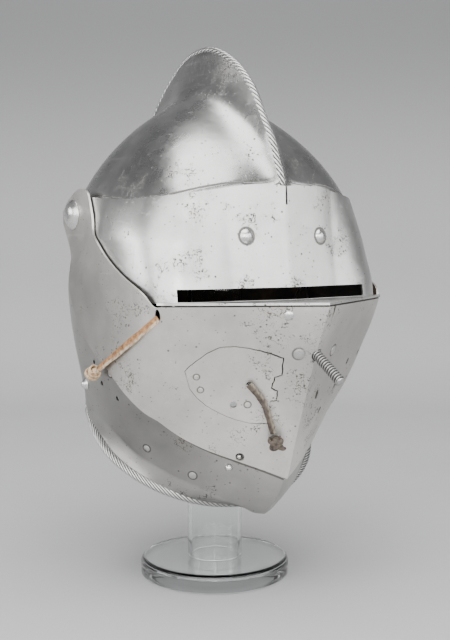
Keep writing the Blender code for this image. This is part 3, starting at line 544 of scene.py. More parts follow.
# %% The collar's rim
RIM_WIDTH, RIM_FRONT, RIM_BACK = 98.0, 60.0, 84.0       # half width, and lengths both ways
RIM_Y, RIM_Z = 13.5, 117.0              # the middle of the rim
RIM_SLOPE, RIM_BEND = 0.66, 0.0026      # how it climbs to the nape, and less and less so
RIM_FRONT_POWER, RIM_BACK_POWER = 2.0, 2.2
FLANGE_STEPS = np.linspace(.08, 1, 12)


def rim_height(y):
    """Height of the collar's rim over the plan's y."""
    dy = y - RIM_Y
    return RIM_Z + RIM_SLOPE * dy - RIM_BEND * dy**2


def rim_point(points):
    """The rim's point in the same direction from the collar's middle as each given point."""
    x = points[..., 0]
    dy = points[..., 1] - RIM_Y
    length = np.where(dy < 0, RIM_FRONT, RIM_BACK)
    power = np.where(dy < 0, RIM_FRONT_POWER, RIM_BACK_POWER)
    reach = ((np.abs(x) / RIM_WIDTH)**power + (np.abs(dy) / length)**power) ** (1 / power)
    rim_y = RIM_Y + dy / reach
    return np.stack([x / reach, rim_y, rim_height(rim_y)], -1)


def flange_rows(last, forward=0.0):
    """Rows that carry a plate's last row down and out to the rim in a hollow curve.

    (1 - f)^2 last + 2 f (1 - f) turn + f^2 rim.  forward is how far the sides of the rim
    reach towards the face beyond the row above.
    """
    ahead = np.zeros_like(last)
    ahead[..., 1] = forward * smoothstep(55, 88, np.abs(last[..., 0]))
    rim = rim_point(last - ahead)
    turn = last + (rim - last) * np.array([.15, .15, .8])
    return np.array([(1 - f)**2 * last + 2 * f * (1 - f) * turn + f**2 * rim for f in FLANGE_STEPS])


print("the rim is", round(rim_height(RIM_Y - RIM_FRONT), 1), "mm up at the front")

# %% [markdown]
# ## Grids into plates
#
# A plate is a grid of points.  `sheet_mesh` puts a grid into a mesh with one call for the
# points and one for the faces.  A plate is built as its left half, mirrored, given its
# thickness inwards, and cut where it has openings.  The result is applied at once, so
# that the cutters can go.

# %% From a grid to a finished plate
SHARP_ANGLE = math.radians(38)
MIRROR = ("MIRROR", {"merge_threshold": 0.00005})


def sheet_mesh(name, points, round_rows=False, round_columns=False):
    """A mesh over a grid (rows, columns, 3) in millimetres; a round grid closes on itself."""
    rows, columns = points.shape[:2]
    corner = np.arange(rows * columns).reshape(rows, columns)
    if round_rows:
        corner = np.concatenate([corner, corner[:1]])
    if round_columns:
        corner = np.concatenate([corner, corner[:, :1]], 1)
    quads = np.stack([corner[:-1, :-1], corner[1:, :-1], corner[1:, 1:], corner[:-1, 1:]], -1)
    quads = quads.reshape(-1, 4)
    mesh = bpy.data.meshes.new(name)
    mesh.vertices.add(rows * columns)
    mesh.vertices.foreach_set("co", (points.reshape(-1) * MM).astype(np.float32))
    mesh.loops.add(quads.size)
    mesh.loops.foreach_set("vertex_index", quads.ravel().astype(np.int32))
    mesh.polygons.add(len(quads))
    mesh.polygons.foreach_set("loop_start", np.arange(0, quads.size, 4, dtype=np.int32))
    mesh.update(calc_edges=True)
    mesh.validate()
    return mesh


def piece(name, mesh, body, finish, stands_for=(), inner=None):
    """A piece in the scene: its mesh, its finish, the body it rides on and what it replaces.

    A plate also has an inner finish, for the faces that Solidify put in slot 1.
    """
    slots = np.zeros(len(mesh.polygons), np.int32)
    mesh.polygons.foreach_get("material_index", slots)
    mesh.materials.clear()
    mesh.materials.append(finish)
    if inner:
        mesh.materials.append(inner)
        mesh.polygons.foreach_set("material_index", slots)
    thing = placed(name, mesh)
    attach(thing, body)
    if stands_for:
        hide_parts(*stands_for)
    print(f"{name}: {len(mesh.polygons)} faces")
    return thing


def baked(name, mesh, steps):
    """A mesh after modifiers (type, settings), with its sharp edges kept.

    It has two empty slots, so that Solidify can put the inner faces in the second.
    """
    for _ in ("outer", "inner"):
        mesh.materials.append(None)
    thing = placed(name + "_work", mesh)
    for kind, settings in steps:
        modifier = thing.modifiers.new(kind, kind)
        for setting, value in settings.items():
            setattr(modifier, setting, value)
    bpy.context.view_layer.update()
    shape = thing.evaluated_get(bpy.context.evaluated_depsgraph_get())
    made = bpy.data.meshes.new_from_object(shape)
    made.name = name
    bpy.data.objects.remove(thing)
    made.shade_smooth()
    made.set_sharp_from_angle(angle=SHARP_ANGLE)
    return made


def cutter(mesh):
    """A hidden object to cut with, until all the cuts are made."""
    thing = placed("cutter", mesh)
    thing.hide_render = True
    return thing


def cut_by(tool, operation="DIFFERENCE"):
    """The exact Boolean with a tool, as a modifier step."""
    return ("BOOLEAN", {"operation": operation, "solver": "EXACT", "object": tool})


def thickness(plate):
    """Solidify inwards by the plate's thickness, as a modifier step."""
    return ("SOLIDIFY", {"thickness": plate * MM, "offset": -1, "use_even_offset": True,
                         "use_quality_normals": True, "material_offset": 1})


def box_mesh(low, high):
    """A box between two corners in millimetres."""
    bm = bmesh.new()
    bmesh.ops.create_cube(bm, size=1)
    low, high = Vector(low) * MM, Vector(high) * MM
    bmesh.ops.scale(bm, vec=high - low, verts=bm.verts)
    bmesh.ops.translate(bm, vec=(low + high) / 2, verts=bm.verts)
    mesh = bpy.data.meshes.new("box")
    bm.to_mesh(mesh)
    bm.free()
    return mesh


def rod_mesh(centre, normal, radius, length, sides=32, squash=1.0, spin=0.0):
    """A rod through centre along normal; squash makes it a slot, spin turns the slot."""
    bm = bmesh.new()
    bmesh.ops.create_cone(bm, cap_ends=True, segments=sides, radius1=radius * MM,
                          radius2=radius * MM, depth=length * MM)
    mesh = bpy.data.meshes.new("rod")
    bm.to_mesh(mesh)
    bm.free()
    upright = Vector(normal).to_track_quat("Z", "Y").to_matrix().to_4x4()
    shape = upright @ Matrix.Rotation(spin, 4, "Z") @ Matrix.Diagonal((squash, 1, 1, 1))
    mesh.transform(Matrix.Translation(Vector(centre) * MM) @ shape)
    return mesh


def joined(meshes):
    """Several meshes as one."""
    bm = bmesh.new()
    for mesh in meshes:
        bm.from_mesh(mesh)
    whole = bpy.data.meshes.new("joined")
    bm.to_mesh(whole)
    bm.free()
    return whole


def closed(mesh):
    """The same mesh with its open ends filled and its faces turned outwards."""
    bm = bmesh.new()
    bm.from_mesh(mesh)
    bmesh.ops.holes_fill(bm, edges=[edge for edge in bm.edges if edge.is_boundary], sides=0)
    bmesh.ops.recalc_face_normals(bm, faces=bm.faces)
    bm.to_mesh(mesh)
    bm.free()
    mesh.shade_smooth()
    return mesh


def solid(name, grid):
    """The closed mesh of a grid whose columns go all the way round."""
    return closed(sheet_mesh(name, grid, round_columns=True))


def keep_number(mesh, name, values):
    """Keep a number at each point of a mesh, for a finish to read."""
    held = mesh.attributes.new(name, "FLOAT", "POINT")
    held.data.foreach_set("value", np.ravel(values).astype(np.float32))


print("a plate is", PLATE, "mm thick and the skull", SKULL_PLATE)

# %% [markdown]
# ## Roped edges
#
# The comb's crest and the collar's rim are turned over a wire and filed like a rope.  A
# tube is swept along the edge, and its radius falls in sharp grooves that wind round it.

# %% A rope along a line
ROPE_GROOVE = .30
ROPE_ROWS_PER_PITCH, ROPE_POINTS_PER_STRAND = 9, 8


def frames_along(line):
    """Two cross directions at each point of a line, turned as little as possible."""
    tangent = unit(np.gradient(line, axis=0))
    side = np.empty_like(line)
    first = np.cross(tangent[0], (0.0, 0.0, 1.0))
    if np.linalg.norm(first) < .1:
        first = np.cross(tangent[0], (1.0, 0.0, 0.0))
    side[0] = unit(first)
    for i in range(1, len(line)):
        step = side[i - 1] - tangent[i] * (side[i - 1] @ tangent[i])
        side[i] = unit(step)
    return side, np.cross(tangent, side)


def run_along(line):
    """How far each point of a line is along it."""
    return np.concatenate([[0], np.cumsum(np.linalg.norm(np.diff(line, axis=0), axis=1))])


def walked(line, run, want):
    """The points of a line at the wanted lengths along it."""
    return np.stack([np.interp(want, run, line[:, k]) for k in range(3)], 1)


def even_line(points, count):
    """A line walked at an even pace: count points, and how far each is along it."""
    run = run_along(points)
    want = np.linspace(0, run[-1], count)
    return walked(points, run, want), want


def full_turn(count):
    """Angles all the way round, without the last, which would be the first again."""
    return np.linspace(0, 2 * math.pi, count, endpoint=False)


def circle(angle, side, up):
    """The directions at the angles round, in the plane of side and up."""
    return np.cos(angle)[:, None] * side + np.sin(angle)[:, None] * up


def rope(points, radius, strands, pitch):
    """A twisted rope as a closed grid.

    radius * (1 - ROPE_GROOVE * (1 - |cos(p / 2)| ** 0.7)), where the phase p is the
    strands times the angle round, plus a full turn for each pitch along.  Both ends taper
    shut.
    """
    length = np.linalg.norm(np.diff(points, axis=0), axis=1).sum()
    line, run = even_line(points, int(length / pitch * ROPE_ROWS_PER_PITCH))
    side, up = frames_along(line)
    angle = full_turn(ROPE_POINTS_PER_STRAND * abs(strands))
    phase = strands * angle[None, :] + 2 * math.pi * run[:, None] / pitch
    size = radius * (1 - ROPE_GROOVE * (1 - np.abs(np.cos(phase / 2)) ** .7))
    ends = np.sqrt(np.clip(np.minimum(run, run[-1] - run) / radius, 0, 1))
    size = size * np.maximum(ends, .02)[:, None]
    return line[:, None] + circle(angle, side[:, None], up[:, None]) * size[..., None]


print("ropes: grooves", ROPE_GROOVE, "of the radius deep")

# %% [markdown]
# ## Skull
#
# The skull was raised from one sheet, comb and all.  Its surface is blended between four
# border lines as directions from the middle of the bowl, and carried out to the plan
# curves.  Near the middle each rib is lifted to the comb in a hollow flare.

# %% The skull's surface
BROW_LINE = ((0, -92, 305), (30, -90, 303), (58, -82, 299), (82, -58, 297), (94, -34, 292),
             (100, -18, 278), (103, -8, 258))
CHEEK_LINE = ((103, -8, 258), (103, 8, 238), (103, 22, 215), (101, 37, 188), (90, 57, 159))
COLLAR_REACH = 9.0          # how far the ends of its rim reach forward of the plate above
COLLAR_LINE = ((90, 57, 159), (81, 70, 168), (62, 82, 176), (34, 90, 180), (0, 93, 182))
COMB_COLUMNS = ("angle", "radius")
COMB_ROWS = (
    (-15, 95), (0, 104), (15, 115), (35, 127), (50, 136), (62, 145), (74, 156), (85, 166.3),
    (95, 169), (108, 162), (120, 151.5), (131, 140), (138, 136), (145, 131), (152.6, 128.2),
    (158, 125),
)
COMB_HALF_EDGE = 2.9        # half the crest's thickness
COMB_FLARE = 7.0            # how fast the comb's foot widens into the bowl
INSET_X, INSET_Z, CHEEK_Z = (40, 80), (285, 320), (235, 292)    # where the insets fade in
RAY_FROM, RAY_TO, HALVINGS = 5.0, 220.0, 34     # where the skull's surface is looked for
COMB_WALK = (*np.linspace(0, 3.2, 7), *np.linspace(4, 24, 20))  # its points' distances from the middle


def under_visor(p, width, dy):
    """Whether points lie inside the visor, by its gap; always so above its top edge."""
    power = table(VISOR_ROWS, VISOR_COLUMNS, "power", p[..., 2])
    front = table(VISOR_ROWS, VISOR_COLUMNS, "front", p[..., 2]) - VISOR_GAP
    level = (np.abs(p[..., 0]) / (width + VISOR_OUT - VISOR_GAP))**power + (np.abs(dy) / front)**power
    return (level < 1) | (dy > 0) | (p[..., 2] > VISOR_ROWS[-1][0])


def skull_point(direction):
    """Where rays from the middle of the bowl meet the skull's outer face, by halving."""
    low = np.full(direction.shape[:-1], RAY_FROM)
    high = np.full(direction.shape[:-1], RAY_TO)
    for _ in range(HALVINGS):
        middle = (low + high) / 2
        p = BOWL_CENTRE + direction * middle[..., None]
        width, front, back = half_axes(p[..., 2])
        dy = p[..., 1] - PLAN_Y + lean(p[..., 2])
        length = np.where(dy < 0, front, back)
        power = np.where(dy < 0, FRONT_POWER, BACK_POWER)
        level = (np.abs(p[..., 0]) / width)**power + (np.abs(dy) / length)**power
        inside = (level < 1) & (p[..., 2] < APEX_Z) & under_visor(p, width, dy)
        low = np.where(inside, middle, low)
        high = np.where(inside, high, middle)
    points = BOWL_CENTRE + direction * low[..., None]
    x, y, z = np.moveaxis(points, -1, 0)
    inset = SKULL_INSET * (1 - smoothstep(*INSET_Z, z)) + CHEEK_INSET * (1 - smoothstep(*CHEEK_Z, z))
    x = np.maximum(0, np.abs(x) - inset * smoothstep(*INSET_X, np.abs(x))) * np.sign(x)
    points[..., 0] = flatten_at_pivot(x, y, z, -SKULL_INSET)
    return points


def skull_sheet(ribs, across):
    """The bowl and comb as a half sheet: ribs run from brow to nape, rows out to the cheek.

    The bowl is a patch between four border lines, blended as directions from the
    middle of the bowl and carried out to the surface along them.  Beside the middle
    each rib is walked at set distances, so that the comb's wall has its own points.
    """
    fine = 70                   # points from the middle to the cheek, before the walk
    s = np.linspace(0, 1, ribs)[:, None, None]
    q = np.linspace(0, 1, fine)[None, :, None]
    borders = [unit(smooth_line(line, n) - BOWL_CENTRE) for line, n in
               ((BROW_LINE, fine), (CHEEK_LINE, ribs), (COLLAR_LINE[::-1], fine))]
    brow, cheek, collar = borders
    start = math.atan2(brow[0, 2], brow[0, 1])
    end = math.atan2(collar[0, 2], collar[0, 1])
    turn = np.linspace(start, end, ribs)
    middle = np.stack([0 * turn, np.cos(turn), np.sin(turn)], 1)
    blend = ((1 - q) * middle[:, None] + q * cheek[:, None]
             + (1 - s) * brow[None] + s * collar[None]
             - (1 - s) * (1 - q) * brow[0] - (1 - s) * q * brow[-1]
             - s * (1 - q) * collar[0] - s * q * collar[-1])
    surface = skull_point(unit(blend))
    surface[:, 0, 0] = 0
    rows = []
    for rib, angle in zip(surface, turn):
        run = run_along(rib)
        near = np.interp(COMB_WALK, rib[:, 0], run)
        rest = np.linspace(near[-1], run[-1], across + 1)[1:]
        rows.append(raise_comb(walked(rib, run, np.concatenate([near, rest])), angle))
    return np.array(rows)


def raise_comb(row, angle):
    """Lift one rib's points to the comb: full at the crest, falling in a hollow flare."""
    crest = table(COMB_ROWS, COMB_COLUMNS, "radius", math.degrees(angle))
    height = max(0.0, float(crest) - np.linalg.norm(row[0] - BOWL_CENTRE))
    x = row[:, 0]
    share = np.exp(-np.maximum(0, x - COMB_HALF_EDGE) / COMB_FLARE)
    rounding = height and min(1.6, height / 3) / height
    share = share - rounding * np.clip(x / COMB_HALF_EDGE, 0, 1)**3 * (x <= COMB_HALF_EDGE + .3)
    outward = np.array([0, math.cos(angle), math.sin(angle)])
    return row + outward * (height * share)[:, None]


print("the comb's top is", max(radius for _, radius in COMB_ROWS), "mm from the middle of the bowl")

# %% [markdown]
# ## The skull as a piece
#
# The outside is steel, and the inside is painted near black, as on every plate: forge
# scale, and painted shade for the inside that light doesn't reach.
# The seam is the dark line of shadow and dirt above the visor's top edge.

# %% Skull
def scale_and_shade_finish(name):
    """Near-black forge scale with brown rust in clouds; the near black is also painted shade for insides
    that light doesn't reach.
    """
    paint = Paint(name, Metallic=.3)
    cloud = paint.noise(45, 4, .65)
    colour = paint.mix(cloud.between(.4, .7), (.022, .019, .017, 1), (.07, .045, .03, 1))
    return paint.finish(Base_Color=colour, Roughness=.55 + cloud * .25,
                        Normal=paint.bump(paint.noise(400, 3, .6), .0003, .4))


RIBS, COLUMNS_OUT = 120, 60
bowl = skull_sheet(RIBS, COLUMNS_OUT)
skull_grid = np.concatenate([bowl, flange_rows(bowl[-1], COLLAR_REACH)])
# The inner faces are painted near black: forge scale with painted shade.
black_scale_and_shade = scale_and_shade_finish("black_scale_and_shade")
skull_steel = steel("skull_steel", .54, .1, .45, .22, seam=(-4.9, .9))
skull_mesh = baked("skull_plate", sheet_mesh("skull", skull_grid[::-1]), [MIRROR, thickness(SKULL_PLATE)])
piece("skull_plate", skull_mesh, "helmet", skull_steel, ["skull"], black_scale_and_shade)

# %% [markdown]
# ## Rope finish
#
# The rope is rubbed bright on its ridges and holds dirt in its grooves.  The grid of the
# rope knows how deep each point lies, so that depth is kept as an attribute on the mesh
# and the finish darkens by it.

# %% Comb and collar ropes
def rope_finish(name, tone):
    """Bright ridges and dark grooves, by the mesh's own depth attribute."""
    paint = Paint(name, Metallic=1.0)
    cloud = paint.noise(120, 3, .6)
    groove = paint.kept("depth").between(.12, .62)
    light = (.86 + cloud * .28) * tone
    ridge = paint.rgb(light, light, light * .98)
    colour = paint.mix(groove * .95, ridge, (.035, .032, .03, 1))
    return paint.finish(Base_Color=colour, Roughness=.26 + groove * .3 + cloud * .06,
                        Metallic=1 - groove * .4,
                        Normal=paint.bump(paint.noise(1400, 2, .6), .0001, .3))


def rope_piece(name, points, radius, strands, pitch, body, finish):
    """A rope along a line of points, with the depth of its grooves as an attribute.

    depth is 0 on the ridges and 1 in the grooves: (1 - size / most) / ROPE_GROOVE, where
    size is how far a point is from the middle of its ring.
    """
    grid = rope(points, radius, strands, pitch)
    size = np.linalg.norm(grid - grid.mean(1, keepdims=True), axis=-1)
    depth = (1 - size / size.max(1, keepdims=True)) / ROPE_GROOVE
    mesh = solid(name, grid)
    keep_number(mesh, "depth", np.clip(depth, 0, 1))
    piece(name, mesh, body, finish)


def both_sides(row):
    """A rim's half, given from the middle out, as a line from side to side."""
    return np.concatenate([row[::-1], row[1:] * (-1, 1, 1)])


rope_steel = rope_finish("rope_steel", .58)
crest = skull_grid[2:RIBS - 1, 0]
CREST_SINK = 2.2            # how far the comb's rope is sunk into the crest
COMB_ROPE = (3.6, 6, 5.2)   # radius, strands, pitch
REAR_ROPE, FRONT_ROPE = (3.2, -8, 4.0), (3.1, -8, 4.0)
rope_piece("comb_rope", crest - unit(crest - BOWL_CENTRE) * CREST_SINK, *COMB_ROPE, "helmet", rope_steel)
rope_piece("collar_rope_rear", both_sides(skull_grid[-1]), *REAR_ROPE, "helmet", rope_steel)

# %% [markdown]
# ## Places on the plates
#
# Every rivet and hole is given by the plate it is on, its place round the plan and its
# height.  `spot` turns that into a point and the way out of the metal.

# %% Spots
PLATES = {
    "upper": (face_front, UPPER_OUT, 0),
    "lower": (face_front, LOWER_OUT, LOWER_KEEL_STEP),
    "visor": (visor_front, VISOR_OUT, 0),
}


def spot(plate, side, t, z):
    """A point of a plate's outer face and the way out of the metal there."""
    front, out, step = PLATES[plate]
    around = plan_point(front, [t, t + .01, t], [z, z, z + 1.0], out, step)
    around[:, 0] *= side
    normal = np.cross(around[1] - around[0], around[2] - around[0]) * side
    return around[0], unit(normal)


def plate_grid(front, edges, ts, out, keel_step, shares):
    """A plate as a half grid: columns round the plan, rows from its high to its low edge.

    z = high * (1 - share) + low * share, with both edges read from the table at t.
    """
    low = table(edges, EDGE_COLUMNS, "low", ts)
    high = table(edges, EDGE_COLUMNS, "high", ts)
    v = shares[:, None]
    z = high * (1 - v) + low * v
    return plan_point(front, np.broadcast_to(ts, z.shape), z, out, keel_step)


def drilled(plate, places):
    """Rods to drill a plate with, from (side, t, z, radius, squash, spin) rows, as one cutter."""
    rods = []
    for side, t, z, radius, squash, spin in places:
        point, normal = spot(plate, side, t, z)
        rods.append(rod_mesh(point, normal, radius, 14, 28, squash, spin))
    return cutter(joined(rods))


def keep_seam(mesh, line):
    """Keep on the mesh how far each point is below a line, in millimetres.

    It is the distance to the line's nearest point, negative above that point.  The line
    is looked through in parts of 40 points, which keeps the arrays small.
    """
    places = np.empty(len(mesh.vertices) * 3, np.float32)
    mesh.vertices.foreach_get("co", places)
    places = places.reshape(-1, 3) / MM
    gap, above = np.full(len(places), 1e3), np.zeros(len(places))
    for part in np.array_split(line, math.ceil(len(line) / 40)):
        far = np.linalg.norm(places[:, None] - part[None], axis=-1)
        best = far.argmin(1)
        nearer = far.min(1) < gap
        gap = np.where(nearer, far.min(1), gap)
        above = np.where(nearer, places[:, 2] - part[best, 2], above)
    keep_number(mesh, "seam", np.where(above > 0, -gap, gap))


EDGE_COLUMNS = ("t", "low", "high")
PIVOT_HOLE_RADIUS = 4.4
THROUGH = 260               # the length of a rod that drills both sides at once
pivot_hole = cutter(rod_mesh((0, PIVOT_Y, PIVOT_Z), (1, 0, 0), PIVOT_HOLE_RADIUS, THROUGH, 40, spin=.1))
print("the keel at the screw is at", spot("upper", 1, 0, 194.0)[0].round(1))

# %% [markdown]
# ## Visor
#
# The visor is one plate from the brow down to the sight, long at the sides where it runs
# back to the pivots.  Its lower edge turns out in a shelf that rests on the bevor, and
# the sight is a narrow slot above that shelf.

# %% Visor
VISOR_EDGE = (
    (0, 232.6, 315.7), (.117, 232.6, 316.6), (.325, 232.6, 311.7), (.43, 232.6, 309),
    (.492, 232.6, 307.8), (.56, 232.8, 306.8), (.608, 234, 306.4), (.68, 239, 306.2),
    (.74, 246, 306.3), (.8, 256, 307), (.85, 265, 307.6), (.92, 275, 308.5),
    (.975, 278.5, 308.9), (1.03, 279.5, 309.2), (1.09, 279, 310), (1.13, 280, 310),
    (1.18, 284, 307.5), (1.225, 291.5, 300.5),
)
SHELF_Z = 232.2
SHELF_LAST_T = .43
SHELF_REACH = 1.2           # its rim's place round the bevor, over its place round the visor
SHELF_DROP = 0.4            # from the visor's lower edge down to the shelf
EDGE_DROP = 0.8             # how far the edge runs straight down beyond the shelf
SIGHT_RIGHT_X, SIGHT_LEFT_X = -90.0, 76.0
SIGHT_LOW, SIGHT_HIGH = 232.4, 241.4
BROW_NOTCH_WIDTH, BROW_NOTCH_LOW = 1.6, 302.0

VISOR_LAST_T = 1.225        # how far round the visor's arms reach
VISOR_RIVET = (.168, 278.9)             # t and z
visor_ts = np.linspace(0, VISOR_LAST_T, 118)
sheet = plate_grid(visor_front, VISOR_EDGE, visor_ts, VISOR_OUT, 0, np.linspace(0, 1, 40))
keep_seam(skull_mesh, both_sides(sheet[0]))
foot = sheet[-1] - (0, 0, SHELF_DROP)
rim = plan_point(face_front, visor_ts * SHELF_REACH, np.full(visor_ts.shape, 230.0), UPPER_OUT)
rim[:, 2] = SHELF_Z
on_shelf = (visor_ts <= SHELF_LAST_T)[:, None]
shelf = [np.where(on_shelf, foot * (1 - f) + rim * f, foot - (0, 0, EDGE_DROP * f))
         for f in np.linspace(0, 1, 8)]
visor_grid = np.concatenate([sheet, shelf])
sight = cutter(box_mesh((SIGHT_RIGHT_X, -160, SIGHT_LOW), (SIGHT_LEFT_X, -40, SIGHT_HIGH)))
notch = cutter(box_mesh((-BROW_NOTCH_WIDTH / 2, -130, BROW_NOTCH_LOW), (BROW_NOTCH_WIDTH / 2, -80, 330)))
visor_mesh = baked("visor_plate", sheet_mesh("visor", visor_grid),
                   [MIRROR, thickness(PLATE), cut_by(sight), cut_by(notch), cut_by(pivot_hole)])
# A dark ring round each visor rivet: dirt with painted shade under its head.
visor_marks = [(spot("visor", side, *VISOR_RIVET)[0], 6.0, 1.2) for side in (-1, 1)]
visor_blots = [((x, -118, 240), 22) for x in (-70, -35, 5, 45)]
visor_steel = steel("visor_steel", .62, .1, .8, .25, visor_marks, visor_blots)
piece("visor_plate", visor_mesh, "visor", visor_steel, ["visor"], black_scale_and_shade)

# %% [markdown]
# ## Trapdoor outline
#
# The trapdoor fills a hole of its own shape.  Both are cut with the same prism, which is
# drawn in for the door by half a millimetre, and by a millimetre at its front.  The
# outline wavers where the metal was nibbled away, most on its front side.

# %% The outline as a prism
DOOR_CENTRE = np.array((-48.0, -98.0, 170.0))
DOOR_OUTLINE = (
    (-34.8, 12), (-32, 15.6), (-27.2, 19.8), (-18.5, 27), (-9.5, 31.6), (1, 32.2), (12, 30.4),
    (25, 27), (36.6, 22.2), (36.0, 8.2), (31.0, 6.4), (28.6, -1.6), (33.2, -4.2),
    (32.4, -12.2), (27.4, -13.0), (26.2, -31.0), (13, -30.6), (3, -28), (-5.4, -24.6),
    (-13, -20.4), (-20.1, -15.6), (-26.4, -9.6), (-31.2, -2.6),
)
door_out = unit(np.array((-.5, -.8, -.33)))
door_across = unit(np.cross([0, 0, 1.0], door_out))
door_up = np.cross(door_out, door_across)
DOOR_GAP, DOOR_PROUD = 0.5, 0.4


def door_place(across, up, out=0.0):
    """A point in millimetres from its places across, up and out in the trapdoor's frame."""
    return DOOR_CENTRE + door_across * across + door_up * up + door_out * out


def wavering(outline, gap, parts=7):
    """The outline with more points, drawn in by the gap and twice as far at the front.

    It waves by up to 0.3 mm: (0.1 + 0.2 * front) * sin(2.9 i) * cos(1.7 i + 0.4), where i
    counts the points and front is 1 on the side towards the keel.
    """
    corners = np.array(outline, float)
    share = np.arange(parts)[:, None] / parts
    fine = np.concatenate([a + (b - a) * share for a, b in zip(corners, np.roll(corners, -1, 0))])
    along = unit(np.roll(fine, -2, 0) - np.roll(fine, 2, 0))
    inward = np.stack([along[:, 1], -along[:, 0]], 1)
    i = np.arange(len(fine))
    front = smoothstep(10, 26, fine[:, 0])
    wave = (.1 + .2 * front) * np.sin(2.9 * i) * np.cos(1.7 * i + .4)
    return fine + inward * (gap * (1 + front) + wave)[:, None]


def door_prism(gap):
    """The cutter over the trapdoor's outline, 12 mm to each side of its flat."""
    line = wavering(DOOR_OUTLINE, gap)
    rings = np.array([[door_place(u, v, out) for u, v in line] for out in (-12, 12)])
    return cutter(solid("prism", rings))


print(len(wavering(DOOR_OUTLINE, 0)), "points round the door")

# %% [markdown]
# ## Upper bevor
#
# The upper bevor is a pointed prow with a keel.  Its right side has the trapdoor, its
# left side the breaths, and its top edge is torn beside the keel.

# %% Upper bevor
UPPER_EDGE = (
    (0, 96.9, 229.3), (.092, 102.7, 229.3), (.25, 112, 229.3), (.4, 121.7, 229.3),
    (.492, 130.8, 229.2), (.525, 135.5, 229.0), (.558, 141, 236.5), (.608, 147.5, 242.9),
    (.667, 160, 248.9), (.725, 171, 255.7), (.792, 181, 265.6), (.842, 186, 275.2),
    (.917, 197, 287.3), (.958, 206, 300.5), (.983, 212, 311), (1.03, 225, 315.5),
    (1.09, 246, 315.5), (1.15, 266, 312), (1.21, 281.5, 306), (1.25, 290.5, 299),
)
# side, t, z, radius, squash, spin
UPPER_HOLES = (
    (1, .500, 184.8, 2.2, 1.1, .4), (1, .383, 180.1, 2.4, 1.2, .9), (1, .467, 164.1, 2.3, 1.15, .6),
    (1, .320, 161.5, 2.4, 1.2, 1.1), (1, .505, 149.5, 2.1, 1.15, .5), (1, .439, 145.9, 2.3, 1.2, .8),
    (1, .216, 145.2, 2.3, 1.3, 1.0), (1, .120, 160.4, 2.7, 1.5, 1.9), (-1, .226, 114.5, 3.3, 1, 0),
    (-1, .512, 223.2, 1.8, 2.6, math.pi / 2),
)
SCREW_FOOT, SCREW_WAY = np.array((2.0, -131.8, 193.9)), unit(np.array((-.03, -.86, -.50)))
SCREW_LENGTH, SCREW_RADIUS, SCREW_PITCH, SCREW_CUT = 34.0, 4.1, 2.5, 1.0


def gash(line, low_y, high_y):
    """A prism over an outline in x and z, from one y to the other."""
    rings = np.array([[(x, y, z) for x, z in line] for y in (low_y, high_y)], float)
    return cutter(solid("gash", rings))


tear = gash([(8.2, 232), (11.4, 232), (10.6, 228), (10.9, 225), (10.2, 221.5), (10.1, 217),
             (9.7, 221), (9.5, 225), (8.9, 228)], -155, -125)
upper_ts = np.concatenate([np.linspace(0, .99, 112), np.linspace(1, 1.25, 34)])
upper_grid = plate_grid(face_front, UPPER_EDGE, upper_ts, UPPER_OUT, 0, np.linspace(0, 1, 64))
screw_hole = cutter(rod_mesh(SCREW_FOOT, SCREW_WAY, SCREW_RADIUS + .5, 30))
upper_mesh = baked("upper_bevor_plate", sheet_mesh("upper_bevor", upper_grid),
                   [MIRROR, thickness(PLATE), cut_by(door_prism(0)), cut_by(pivot_hole),
                    cut_by(drilled("upper", UPPER_HOLES)), cut_by(screw_hole), cut_by(tear)])
# Painted shade: darker metal round both cheeks and on the far side of the prow.
UPPER_PAINTED_SHADE = ((-108, 8, 215), (108, 8, 215), (62, -104, 178))
PROW_RIVETS = ((-1, .058, 194.7), (1, .159, 194.0))     # side, t, z
# A dark ring round the prow rivets and round the screw's foot: dirt with painted shade.
upper_marks = [(spot("upper", *place)[0], 4.4, 1.1) for place in PROW_RIVETS]
upper_marks += [(SCREW_FOOT + SCREW_WAY * 9, 6.0, 2.2)]
upper_blots = [(SCREW_FOOT + SCREW_WAY * 8, 17), ((10, -141, 224), 15), ((-30, -125, 222), 20),
               ((-3, -125, 170), 22), ((20, -112, 150), 24)]
upper_steel = steel("upper_steel", .72, .45, .8, .31, upper_marks, upper_blots, metal=.92,
                    painted_shade_points=UPPER_PAINTED_SHADE)
piece("upper_bevor_plate", upper_mesh, "upper_bevor", upper_steel, ["upper_bevor"], black_scale_and_shade)

# %% [markdown]
# ## Trapdoor
#
# The door is cut out of its own sheet, which lies a little proud of the bevor.  `on_door`
# finds the points of its outer face by search, for the dark rings of dirt and painted
# shade round the rivets here and for the rivets themselves later.

# %% Trapdoor
# name, across, up, radius
DOOR_RIVETS = (
    ("door_rivet_upper", -26.2, 7.5, 2.3),
    ("door_rivet_lower", -23.3, -3.0, 2.3),
    ("door_rivet_front", 11.0, -14.9, 2.6),
)
DOOR_HOLES = ((.7, -14.8, 2.6), (11.8, .9, 2.4))        # across, up, radius


def on_door(across, up):
    """The point of the trapdoor's outer face at a place across and up, by search."""
    t = np.linspace(0, .6, 120)
    best = None
    for out in np.linspace(-4, 3, 141):
        point = door_place(across, up, out)
        line = plan_point(face_front, t, point[2], UPPER_OUT + DOOR_PROUD, -DOOR_PROUD)
        miss = np.hypot(-line[:, 0] - point[0], line[:, 1] - point[1]).min()
        if best is None or miss < best[0]:
            best = (miss, point)
    return best[1]


